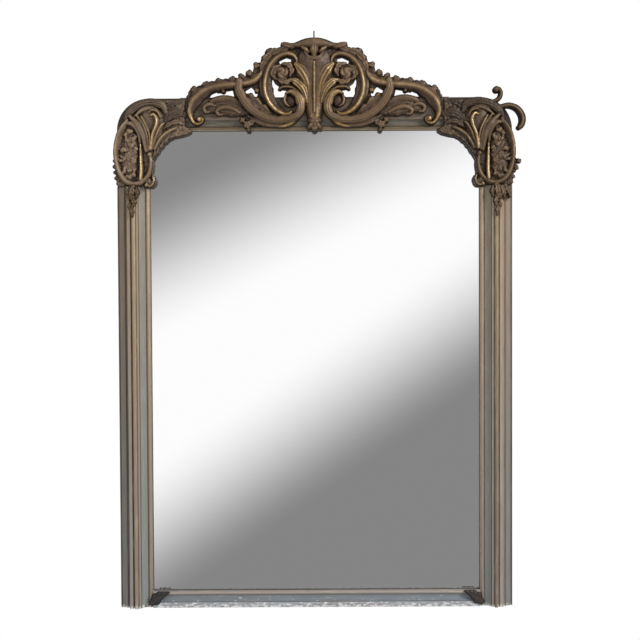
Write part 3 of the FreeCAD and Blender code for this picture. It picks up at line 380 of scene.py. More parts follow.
@dataclass(frozen=True)
class AgedPine:
    """Old pine, bare and browned by smoke at the back and toned dark where the front is painted."""

    # Sawn and planed pine looks dull, with long streaks and a grey bloom of dust and smoke.
    name: str
    light: str = "#8d6f4b"
    dark: str = "#5c4228"
    smoke: str = "#3a2c1f"
    toned: str = "#372d24"
    pale_toned: str = "#5a4b3d"
    grain: tuple[float, float, float] = (1.0, 1.0, 0.06)

    def material(self) -> bpy.types.Material:
        """Build the finish from long streaks, pores and soot.

        Returns:
            The material.
        """
        shade = Shade(self.name)
        streak = shade.grain(7.0, 5.0, 0.6, self.grain)
        # Pores are finer than this; they are drawn this coarse so that they show.
        pores = shade.grain(1.6, 3.0, 0.7, self.grain)
        streaks = shade.add(MATH, (streak, 0.75), operation="MULTIPLY")
        value = shade.add(MATH, (pores, 0.35, streaks), operation="MULTIPLY_ADD")
        colour = shade.add("ShaderNodeValToRGB", (value,), stops=((0.3, self.dark), (0.75, self.light)))
        darkening = shade.add(RANGE, (shade.grain(120.0, 4.0), 0.5, 0.75, 0.0, 0.28), **SMOOTH)
        colour = shade.add(MIX, {0: darkening, 6: colour, 7: self.smoke}, **BLEND)
        # The front half of the carcass is painted.
        depth = shade.add("ShaderNodeSeparateXYZ", (shade.place,), output=1)
        painted = shade.add(RANGE, (depth, -0.0135, -0.0165), **SMOOTH)
        paint = shade.add(MIX, {0: streak, 6: self.toned, 7: self.pale_toned}, **BLEND)
        colour = shade.add(MIX, {0: painted, 6: colour, 7: paint}, **BLEND)
        return shade.finish(colour, 0.72, 0.0, value, 0.4, 0.5)


@dataclass(frozen=True)
class WroughtIron:
    """Dark hammered iron with a bloom of rust."""

    # Hammered iron has a broken, dull sheen; rust takes the sheen away.
    name: str = "wrought_iron"
    iron: str = "#2b2927"
    rust: str = "#5b3a26"

    def material(self) -> bpy.types.Material:
        """Build the finish from rust blotches and hammer marks.

        Returns:
            The material.
        """
        shade = Shade(self.name)
        rust = shade.add(RANGE, (shade.grain(8.0, 5.0, 0.65), 0.48, 0.64), **SMOOTH)
        colour = shade.add(MIX, {0: rust, 6: self.iron, 7: self.rust}, **BLEND)
        rough = shade.add(MATH, (rust, 0.3, 0.48), operation="MULTIPLY_ADD")
        metal = shade.add(MATH, (rust, -0.3, 0.4), operation="MULTIPLY_ADD")
        return shade.finish(colour, rough, metal, shade.grain(4.0, 4.0), 0.3, 0.6)


class Finish(Enum):
    """Every finish on the mirror."""

    CARVING = BronzedCarving()
    # A lighter copy of the carving's finish for the left corner, and a darker one for the right.
    LEFT_CARVING = BronzedCarving(name="bronzed_carving_lighter", hollow="#31261d", shade="#58483a",
                                  body="#816b56", worn="#a68e71")
    RIGHT_CARVING = BronzedCarving(name="bronzed_carving_darker", shade="#3f3025", body="#5b4836",
                                   worn="#80684c")
    DARK_CARVING = BronzedCarving(name="dark_carving", hollow="#1b1a1c", shade="#262427", body="#3a373a",
                                  worn="#5c585a")
    PAINT = PaintedGesso()
    PAINT_LEVEL = PaintedGesso(name="painted_gesso_rails", greys=("#4d5157", "#7a7c80", "#97989b", "#b0afb2"),
                               cool="#737b82", smoked_cool="#5e574a", gold="#aaa098", olive="#3d3223",
                               streak="#a29f98", gesso="#e4e4e4", scuffed=0.2, grain=(0.12, 1.0, 1.0))
    PLATE = SilveredPlate()
    PINE = AgedPine("carcass_pine")
    PINE_LEVEL = AgedPine("carcass_pine_rails", grain=(0.06, 1.0, 1.0))
    BOARD = AgedPine("backboard_pine", light="#9a7b55", dark="#6b4f33")
    IRON = WroughtIron()
    PIN = WroughtIron(name="black_iron", iron="#100f0f", rust="#241813")


class Palette:
    """Builds each finish once, when it is first asked for."""

    def __init__(self) -> None:
        """Start with no material built."""
        self.built: dict[Finish, bpy.types.Material] = {}

    def __getitem__(self, finish: Finish) -> bpy.types.Material:
        """Give the material of a finish.

        Args:
            finish: The finish.

        Returns:
            Its material.
        """
        if finish not in self.built:
            self.built[finish] = finish.value.material()
        return self.built[finish]


# Meshes


def new_object(name: str, points: np.ndarray, faces: np.ndarray, material: bpy.types.Material,
               values: dict[str, np.ndarray] | None = None, sharp: float = 50.0) -> bpy.types.Object:
    """Make a smooth-shaded mesh object from arrays.

    Args:
        name: The object's name.
        points: Places in millimetres, one row each.
        faces: Corner numbers, three or four to a row.
        material: Its finish.
        values: One value for each point, by attribute name.
        sharp: Edges that bend more than this many degrees stay crisp.

    Returns:
        The object, linked to the scene.
    """
    mesh = bpy.data.meshes.new(name)
    count, sides = faces.shape
    mesh.vertices.add(len(points))
    mesh.vertices.foreach_set("co", (points * MM).astype(np.float32).ravel())
    mesh.loops.add(count * sides)
    mesh.loops.foreach_set("vertex_index", faces.astype(np.int32).ravel())
    mesh.polygons.add(count)
    mesh.polygons.foreach_set("loop_start", np.arange(0, count * sides, sides, dtype=np.int32))
    mesh.update(calc_edges=True)
    mesh.validate()
    for key, data in (values or {}).items():
        layer = mesh.attributes.new(key, "FLOAT", "POINT")
        layer.data.foreach_set("value", data.astype(np.float32))
    mesh.shade_smooth()
    mesh.set_sharp_from_angle(angle=math.radians(sharp))
    mesh.materials.append(material)
    piece = bpy.data.objects.new(name, mesh)
    bpy.context.scene.collection.objects.link(piece)
    return piece


def settle(piece: bpy.types.Object, slot: str, *nodes: str) -> None:
    """Let a piece ride on the frame in place of CAD nodes, and report it.

    Args:
        piece: The finished piece.
        slot: The record's slot for its finish; it is not used.
        nodes: The CAD nodes that it stands for.
    """
    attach(piece, "root")
    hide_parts(*nodes)
    LOG.info("%s: %d faces", piece.name, len(piece.data.polygons))


# Carving


class Shape(Enum):
    """How a carved band is shaped across its width."""

    SCROLL = "a ridge with a hollow on either side"
    LEAF = "two swelling blades with veins"
    REED = "flutes that run along the band"
    ROUND = "a plain swelling"


@dataclass(frozen=True)
class Band:
    """One carved band along a curve, in squares across and millimetres up; gilt below zero is painted shade.
    """

    points: Points
    outer: Sequence[float]
    inner: Sequence[float] | None = None
    rise: float = 22.0
    shape: Shape = Shape.LEAF
    lift: float = 0.0
    gilt: float | Sequence[float] = 0.0
    wash: float = 0.0
    bead: float = 4.0
    lobes: int = 0
    scallop: float = 0.0
    flutes: int = 3
    flute_depth: float = 0.16
    crease: float = 2.5


@dataclass(frozen=True)
class Bloom:
    """One carved flower, berry or boss; its radius is in squares and its height in millimetres."""

    centre: tuple[float, float]
    radius: float
    petals: int = 5
    rise: float = 20.0
    twist: float = 0.0
    turn: float = 0.0
    gilt: float = 0.0


def spline(points: Points, steps: int) -> tuple[np.ndarray, np.ndarray]:
    """Run a smooth curve through points.

    Args:
        points: Places to pass through.
        steps: Samples on each span.

    Returns:
        The samples, and for each the number of points passed so far.
    """
    knots = np.array(points, float)
    ends = np.vstack([2 * knots[0] - knots[1], knots, 2 * knots[-1] - knots[-2]])
    at = np.linspace(0, len(knots) - 1, (len(knots) - 1) * steps + 1)
    span = np.minimum(at.astype(int), len(knots) - 2)
    t = (at - span)[:, None]
    a, b, c, d = (ends[span + k] for k in range(4))
    curve = 0.5 * (2 * b + (c - a) * t + (2 * a - 5 * b + 4 * c - d) * t**2 + (3 * b - a - 3 * c + d) * t**3)
    return curve, at


def arched(points: Points, radius: float, steps: int = 8) -> list[tuple[float, float]]:
    """Turn a run of points into a scalloped edge of outward arcs.

    Args:
        points: The ends of the arcs, anticlockwise.
        radius: Radius of every arc.
        steps: Points on each arc.

    Returns:
        Points along the arcs.
    """
    made: list[tuple[float, float]] = []
    for start, end in zip(points[:-1], points[1:]):
        a, b = np.array(start), np.array(end)
        chord = b - a
        length = float(np.hypot(*chord))
        left = np.array([-chord[1], chord[0]]) / length
        centre = (a + b) / 2 + left * math.sqrt(max(radius**2 - (length / 2) ** 2, 0.0))
        first = math.atan2(*(a - centre)[::-1])
        swing = (math.atan2(*(b - centre)[::-1]) - first) % (2 * math.pi)
        turns = [first + swing * k / steps for k in range(steps)]
        made += [tuple(centre + radius * np.array([math.cos(turn), math.sin(turn)])) for turn in turns]
    return made + [tuple(points[-1])]


def blurred(grid: np.ndarray, times: int) -> np.ndarray:
    """Smooth a grid with the weights 1, 2, 1 both ways.

    Args:
        grid: The values.
        times: Number of passes.

    Returns:
        The smoothed values.
    """
    for _ in range(times):
        padded = np.pad(grid, 1, mode="edge")
        grid = (padded[:-2, 1:-1] + 2 * padded[1:-1, 1:-1] + padded[2:, 1:-1]) / 4
        padded = np.pad(grid, 1, mode="edge")
        grid = (padded[1:-1, :-2] + 2 * padded[1:-1, 1:-1] + padded[1:-1, 2:]) / 4
    return grid


class Relief:
    """A carved relief on a grid: its height, its outline and its gilding, below zero painted shade, at every
    point.
    """

    GRIDS = ("height", "inside", "gilt")
    EMPTY = -50.0
    CURVE_STEPS = 14
    CHUNK = 8192
    MARGIN = 6.0
    # Groove round each piece of work: its widths for bands and flowers, and the ground left under it.
    BAND_GROOVE = 3.2
    BLOOM_GROOVE = 3.0
    BLOOM_CREASE = 2.5
    GROOVE_FLOOR = 1.5
    # Smoothing passes and drops in height that tell a hollow from a ridge, near by and farther off.
    NEAR_AND_FAR = ((8, 13.0), (60, 26.0))
    LOWEST = 2.5
    BACK_TONE = 0.45
    CRISP = 60.0

    def __init__(self, x: tuple[float, float], z: tuple[float, float], step: float,
                 origin: tuple[float, float]) -> None:
        """Lay out the grid.

        Args:
            x: Range across, in millimetres.
            z: Range upward, in millimetres.
            step: Spacing of the grid.
            origin: Where the drawing's squares are counted from.
        """
        self.x = np.arange(x[0], x[1] + step / 2, step)
        self.z = np.arange(z[0], z[1] + step / 2, step)
        self.step = step
        self.origin = np.array(origin)
        shape = (len(self.z), len(self.x))
        self.height = np.zeros(shape)
        self.inside = np.full(shape, self.EMPTY)
        self.gilt = np.zeros(shape)

    def placed(self, points: Points) -> np.ndarray:
        """Return places of the drawing in millimetres."""
        return np.array(points, float) * SQUARE + self.origin

    def window(self, low: np.ndarray, high: np.ndarray) -> tuple[slice, slice]:
        """Find the part of the grid between two corners.

        Args:
            low: The lower left corner, in millimetres.
            high: The upper right corner.

        Returns:
            Its rows and columns.
        """
        j = np.searchsorted(self.x, (low[0], high[0]))
        i = np.searchsorted(self.z, (low[1], high[1]))
        return slice(int(i[0]), int(i[1])), slice(int(j[0]), int(j[1]))

    def ground(self, outline: Points, rise: float, hole: bool = False) -> None:
        """Lay a plain ground inside a closed outline, or pierce it there.

        Args:
            outline: Corners in squares.
            rise: Height of the ground.
            hole: Whether the outline is a piercing.
        """
        corners = self.placed(outline)
        xs, zs = np.meshgrid(self.x, self.z)
        odd = np.zeros(xs.shape, bool)
        far = np.full(xs.shape, 1e9)
        for a, b in zip(corners, np.roll(corners, -1, axis=0)):
            if a[1] != b[1]:
                crosses = (a[1] > zs) != (b[1] > zs)
                odd ^= crosses & (xs < (b[0] - a[0]) * (zs - a[1]) / (b[1] - a[1]) + a[0])
            way = b - a
            t = np.clip(((xs - a[0]) * way[0] + (zs - a[1]) * way[1]) / max(way @ way, 1e-9), 0, 1)
            far = np.minimum(far, np.hypot(xs - a[0] - t * way[0], zs - a[1] - t * way[1]))
        signed = np.where(odd, far, -far)
        if hole:
            self.inside = np.minimum(self.inside, -signed)
            return
        self.inside = np.maximum(self.inside, signed)
        # The ground is rounded off over its last few millimetres.
        self.height = np.maximum(self.height, np.where(odd, rise * np.clip(0.4 + far / 6.0, 0, 1), 0))

    def cut(self, work: Iterable[Band | Bloom]) -> None:
        """Carve bands and flowers in order, each over what is there already.

        Args:
            work: The bands and flowers.
        """
        for part in work:
            if isinstance(part, Bloom):
                self.bloom(part)
            else:
                self.carve(part)

    def carve(self, band: Band) -> None:
        """Carve one band over what is there already.

        Args:
            band: The band.
        """
        curve, at = spline(self.placed(band.points), self.CURVE_STEPS)
        number = np.arange(len(band.points))
        outer = np.interp(at, number, band.outer) * SQUARE
        inner = np.interp(at, number, band.inner or band.outer) * SQUARE
        margin = max(outer.max(), inner.max()) + self.MARGIN
        view = self.window(curve.min(0) - margin, curve.max(0) + margin)
        xs, zs = np.meshgrid(self.x[view[1]], self.z[view[0]])
        if not xs.size:
            return
        spots = np.stack([xs.ravel(), zs.ravel()], 1)
        # Where each grid point lies along the curve and beside it.
        way = np.gradient(curve, axis=0)
        way /= np.maximum(np.hypot(way[:, 0], way[:, 1])[:, None], 1e-9)
        length = np.concatenate([[0], np.cumsum(np.hypot(*np.diff(curve, axis=0).T))])
        nearest = self.nearest(spots, curve)
        offset = spots - curve[nearest]
        ahead = np.einsum("ij,ij->i", offset, way[nearest])
        across = way[nearest, 0] * offset[:, 1] - way[nearest, 1] * offset[:, 0]
        ended = ((nearest == 0) & (ahead < 0)) | ((nearest == len(curve) - 1) & (ahead > 0))
        reach = np.where(ended, np.hypot(*offset.T), np.abs(across))
        side = np.where(across >= 0, 1.0, -1.0)
        s = np.clip((length[nearest] + np.where(ended, 0, ahead)) / length[-1], 0, 1)
        # The width there, with its lobes.
        wide_out, wide_in = outer[nearest], inner[nearest]
        phase = band.lobes * (s - 0.8 * reach / length[-1])
        wave = np.abs(np.sin(np.pi * phase)) ** 0.8 if band.lobes else np.ones(len(s))
        if band.lobes:
            wide_out = wide_out * (1 - band.scallop * (1 - wave))
            if band.shape is Shape.LEAF:
                wide_in = wide_in * (1 - band.scallop * (1 - wave))
        wide = np.where(side > 0, wide_out, wide_in)
        u = reach / wide
        # The height and the gilding.
        share = 0.5 + 0.5 * (outer + inner)[nearest] / (outer + inner).max()
        form, gold = self.profile(band, side * reach, np.clip(u, 0, 1), wide, phase, wave)
        edge = 0.35 + 0.65 * np.sqrt(np.clip(1 - np.clip(u, 0, 1) ** 6, 0, 1))
        rise = np.where(u < 1, band.lift + band.rise * share * form * edge, -1.0)
        bright = np.interp(at, number, np.broadcast_to(band.gilt, len(number)))[nearest]
        # Gilt below zero, which paints shade, is kept flat across the band.
        bright = np.where(bright < 0, bright, gold * bright)
        rise, beyond, bright = (values.reshape(xs.shape) for values in (rise, reach - wide, bright))
        self.lay(view, rise, beyond, bright, band.crease, self.BAND_GROOVE)

    def nearest(self, spots: np.ndarray, curve: np.ndarray) -> np.ndarray:
        """Find the sample of a curve that lies nearest to each place.

        Args:
            spots: The places, one row each.
            curve: The samples.

        Returns:
            The sample's number for each place.
        """
        found = np.zeros(len(spots), int)
        for start in range(0, len(spots), self.CHUNK):
            part = spots[start : start + self.CHUNK]
            gap = (part[:, None, 0] - curve[None, :, 0]) ** 2 + (part[:, None, 1] - curve[None, :, 1]) ** 2
            found[start : start + self.CHUNK] = gap.argmin(1)
        return found

    def lay(self, view: tuple[slice, slice], rise: np.ndarray, beyond: np.ndarray, gilt: np.ndarray,
            crease: float, groove: float) -> None:
        """Lay new work over the relief where it stands higher, and cut a groove round it.

        Args:
            view: The part of the grid that it covers.
            rise: Its height, below zero where it has none.
            beyond: Distance outside its edge, below zero inside.
            gilt: Its gilding.
            crease: Depth of the groove.
            groove: Width of the groove.
        """
        old = self.height[view]
        near = (beyond > 0) & (beyond < groove)
        depth = crease * np.clip(1 - beyond / groove, 0, None) ** 1.5
        old = np.where(near, np.maximum(old - depth, np.minimum(old, self.GROOVE_FLOOR)), old)
        wins = rise > old
        self.height[view] = np.where(wins, rise, old)
        self.gilt[view] = np.where(wins, gilt, self.gilt[view])
        self.inside[view] = np.maximum(self.inside[view], -beyond)

    @staticmethod
    def profile(band: Band, across: np.ndarray, u: np.ndarray, wide: np.ndarray, phase: np.ndarray,
                wave: np.ndarray) -> tuple[np.ndarray, np.ndarray]:
        """Shape a band across its width.

        Args:
            band: The band.
            across: Signed distance from the curve, in millimetres.
            u: The same as a share of the half width, without its sign.
            wide: The half width on that side.
            phase: Number of lobes passed so far.
            wave: Swelling of the lobes, from 0 at a notch to 1.

        Returns:
            Height as a share of the band's rise, and how far each point is gilt.
        """
        if band.shape is Shape.SCROLL:
            bead = np.maximum(np.minimum(band.bead, wide * 0.62), 0.1)
            away = np.abs(across) / bead
            t = np.clip((np.abs(across) - bead) / np.maximum(wide - bead, 0.1), 0, 1)
            form = 0.38 + 0.62 / (1 + (away / 1.35) ** 2.6)
            rim = 0.14 * np.exp(-(((t - 0.84) / 0.14) ** 2)) * np.where(across > 0, 1.0, 0.5)
            form = (form + rim) * np.where(across > 0, 1 - 0.4 * t * (1 - wave), 1.0)
            gold = np.exp(-0.7 * away**2)
            return form, np.where(across < 0, np.maximum(gold, band.wash * (1 - 0.6 * t)), gold)
        if band.shape is Shape.LEAF:
            rib = np.exp(-((across / 1.5) ** 2))
            form = 0.72 + 0.28 * np.sin(np.pi * np.minimum(u / 1.1, 1)) + 0.12 * rib
            if band.lobes:
                notch = np.abs(phase - np.round(phase))
                form = form - 0.24 * u**0.8 * np.exp(-((notch / 0.1) ** 2))
                vein = np.abs((phase + 0.5) - np.round(phase + 0.5))
                form = form + 0.06 * np.exp(-((vein / 0.08) ** 2)) * (1 - u)
            return form, np.maximum(rib, 0.35)
        if band.shape is Shape.REED:
            flute = np.abs(np.sin(np.pi * band.flutes * (np.sign(across) * u + 1) / 2))
            swell = 0.5 + 0.5 * np.sqrt(np.clip(1 - u**2, 0, 1))
            return swell * (1 - band.flute_depth * (1 - flute**0.6)), flute
        return 0.3 + 0.7 * np.sqrt(np.clip(1 - u**2, 0, 1)), np.clip(1.6 - 1.5 * u, 0, 1)

    def bloom(self, flower: Bloom) -> None:
        """Carve one flower over what is there already.

        Args:
            flower: The flower, berry or boss.
        """
        centre = self.placed([flower.centre])[0]
        radius = flower.radius * SQUARE
        margin = radius + self.MARGIN
        view = self.window(centre - margin, centre + margin)
        xs, zs = np.meshgrid(self.x[view[1]] - centre[0], self.z[view[0]] - centre[1])
        if not xs.size:
            return
        r = np.hypot(xs, zs)
        angle = np.arctan2(zs, xs) - flower.turn + flower.twist * r / radius
        if flower.petals:
            # Bowed petals with notches between them, round a button.
            petal = np.abs(np.cos(flower.petals * angle / 2))
            reach = radius * (0.74 + 0.26 * petal**0.7)
            u = np.clip(r / reach, 0, 1)
            bowl = 0.58 + 0.42 * np.sin(np.pi * np.clip(u * 0.95, 0, 1)) - 0.30 * u * (1 - petal) ** 1.6
            middle = radius * 0.24
            button = np.where(r < middle, 0.72 + 0.3 * np.sqrt(np.clip(1 - (r / middle) ** 2, 0, 1)), 0)
            form = np.maximum(bowl, button)
        else:
            reach = np.full(r.shape, radius)
            u = np.clip(r / reach, 0, 1)
            form = 0.25 + 0.75 * np.sqrt(np.clip(1 - u**2, 0, 1))
        edge = 0.4 + 0.6 * np.sqrt(np.clip(1 - u**6, 0, 1))
        rise = np.where(r < reach, flower.rise * form * edge, -1.0)
        self.lay(view, rise, r - reach, flower.gilt * form, self.BLOOM_CREASE, self.BLOOM_GROOVE)

    def sink(self, centre: tuple[float, float], radii: tuple[float, float], floor: float) -> None:
        """Hollow an oval down to a floor.

        Args:
            centre: Its middle, in squares.
            radii: Its two radii, in squares.
            floor: The height that is left.
        """
        middle = self.placed([centre])[0]
        xs, zs = np.meshgrid(self.x - middle[0], self.z - middle[1])
        inside = (xs / (radii[0] * SQUARE)) ** 2 + (zs / (radii[1] * SQUARE)) ** 2 < 1
        self.height = np.where(inside, np.minimum(self.height, floor), self.height)

    def veined(self, seed: int, depth: float) -> None:
        """Cut wandering veins, deepest where the ground lies low.

        Args:
            seed: Seed of the veins' course.
            depth: Their depth on low ground.
        """
        rough = np.random.default_rng(seed).normal(0, 1, self.height.shape)
        rough = blurred(rough, max(2, int(20 / self.step**2)))
        groove = np.exp(-((rough / rough.std() / 0.45) ** 2))
        low = np.clip((15.0 - self.height) / 6.0, 0.12, 1.0)
        cut = np.maximum(self.height - depth * groove * low, 1.0)
        self.height = np.where(self.height > 0, cut, self.height)

    def copied(self) -> "Relief":
        """Copy the relief, so that the copy can be carved further by itself.

        Returns:
            The copy.
        """
        other = copy(self)
        for key in self.GRIDS:
            setattr(other, key, getattr(self, key).copy())
        return other

    def turned(self) -> "Relief":
        """Make the relief's other hand, across the middle of the mirror.

        Returns:
            The other hand.
        """
        other = self.copied()
        other.x = -self.x[::-1]
        for key in self.GRIDS:
            setattr(other, key, getattr(self, key)[:, ::-1].copy())
        return other

    def doubled(self) -> "Relief":
        """Join the relief to its other hand; the grid must start on the middle line.

        Returns:
            Both halves in one relief.
        """
        left, other = self.turned(), self.copied()
        other.x = np.concatenate([left.x, self.x[1:]])
        for key in self.GRIDS:
            setattr(other, key, np.concatenate([getattr(left, key), getattr(self, key)[:, 1:]], axis=1))
        return other

    def hollows(self, height: np.ndarray) -> np.ndarray:
        """Compare each point with the mean height near by and farther off.

        Args:
            height: The heights.

        Returns:
            Values from 0 in a hollow to 1 on a ridge.
        """
        solid = np.clip(self.inside / 2.0, 0, 1)
        cavity = np.full(height.shape, 0.5)
        for times, drop in self.NEAR_AND_FAR:
            mean = blurred(height * solid, times) / np.maximum(blurred(solid, times), 1e-3)
            cavity = cavity + (height - mean) / drop
        return np.clip(cavity, 0, 1)

    def trimmed(self) -> tuple[np.ndarray, np.ndarray, np.ndarray, np.ndarray]:
        """Cut the grid's triangles along the outline.

        Returns:
            The triangles and the edges on the outline, with new points numbered after the grid's; and for
            each new point, the two grid points that it lies between and its share of the way.
        """
        rows, columns = self.inside.shape
        total = rows * columns
        number = np.arange(total).reshape(rows, columns)
        a, b, c, d = number[:-1, :-1], number[:-1, 1:], number[1:, 1:], number[1:, :-1]
        corners = np.concatenate([np.stack(three, -1).reshape(-1, 3) for three in ((a, b, c), (a, c, d))])
        level = self.inside.ravel()
        kept = level[corners] > 0
        count = kept.sum(1)
        one = self.rolled(corners[count == 1], kept[count == 1].argmax(1))
        two = self.rolled(corners[count == 2], (~kept[count == 2]).argmax(1))
        cuts = np.concatenate([one[:, [0, 1]], one[:, [0, 2]], two[:, [1, 0]], two[:, [2, 0]]])
        _, first, again = np.unique(cuts[:, 0] * total + cuts[:, 1], return_index=True, return_inverse=True)
        ends = cuts[first]
        share = level[ends[:, 0]] / (level[ends[:, 0]] - level[ends[:, 1]])
        parts = (len(one), 2 * len(one), 2 * len(one) + len(two))
        near, far, left, right = np.split(again + total, parts)
        faces = np.concatenate([corners[count == 3], np.stack([one[:, 0], near, far], 1),
                                np.stack([two[:, 1], two[:, 2], right], 1),
                                np.stack([two[:, 1], right, left], 1)])
        rim = np.concatenate([np.stack([near, far], 1), np.stack([right, left], 1)])
        return faces, rim, ends, share

    def piece(self, name: str, material: bpy.types.Material, bed: float, back: float) -> bpy.types.Object:
        """Turn the relief into a closed mesh.

        Args:
            name: The object's name.
            material: Its finish.
            bed: Depth of the relief's foot in front of the wall.
            back: Depth of its flat back.

        Returns:
            The object.
        """
        height = blurred(self.height, 1)
        # The finish paints shade in the hollows and highlight on the ridges from these cavity values.
        cavity = self.hollows(height)
        height = np.maximum(height, self.LOWEST)
        faces, rim, ends, share = self.trimmed()
        xs, zs = np.meshgrid(self.x, self.z)
        flat = np.stack([xs.ravel(), zs.ravel()], 1)
        between = flat[ends[:, 0]] + share[:, None] * (flat[ends[:, 1]] - flat[ends[:, 0]])
        used, faces = np.unique(faces, return_inverse=True)
        faces = faces.reshape(-1, 3)
        rim = np.searchsorted(used, rim)
        spots = np.concatenate([flat, between])[used]
        rise, hollow, gilt = (np.concatenate([grid.ravel(), grid.ravel()[ends[:, 0]]])[used]
                              for grid in (height, cavity, self.gilt))
        top = np.stack([spots[:, 0], -(bed + rise), spots[:, 1]], 1)
        under = top.copy()
        under[:, 1] = -back
        size = len(used)
        walls = np.concatenate([np.stack([rim[:, 0], rim[:, 0] + size, rim[:, 1] + size], 1),
                                np.stack([rim[:, 0], rim[:, 1] + size, rim[:, 1]], 1)])
        shell = np.concatenate([faces, walls, faces[:, ::-1] + size])
        values = {"cavity": np.concatenate([hollow, np.full(size, self.BACK_TONE)]),
                  "gilt": np.concatenate([gilt, np.zeros(size)])}
        return new_object(name, np.concatenate([top, under]), shell, material, values, self.CRISP)

    @staticmethod
    def rolled(triples: np.ndarray, turn: np.ndarray) -> np.ndarray:
        """Turn each triangle so that the corner with that number comes first."""
        order = (turn[:, None] + np.arange(3)) % 3
        return np.take_along_axis(triples, order, 1)


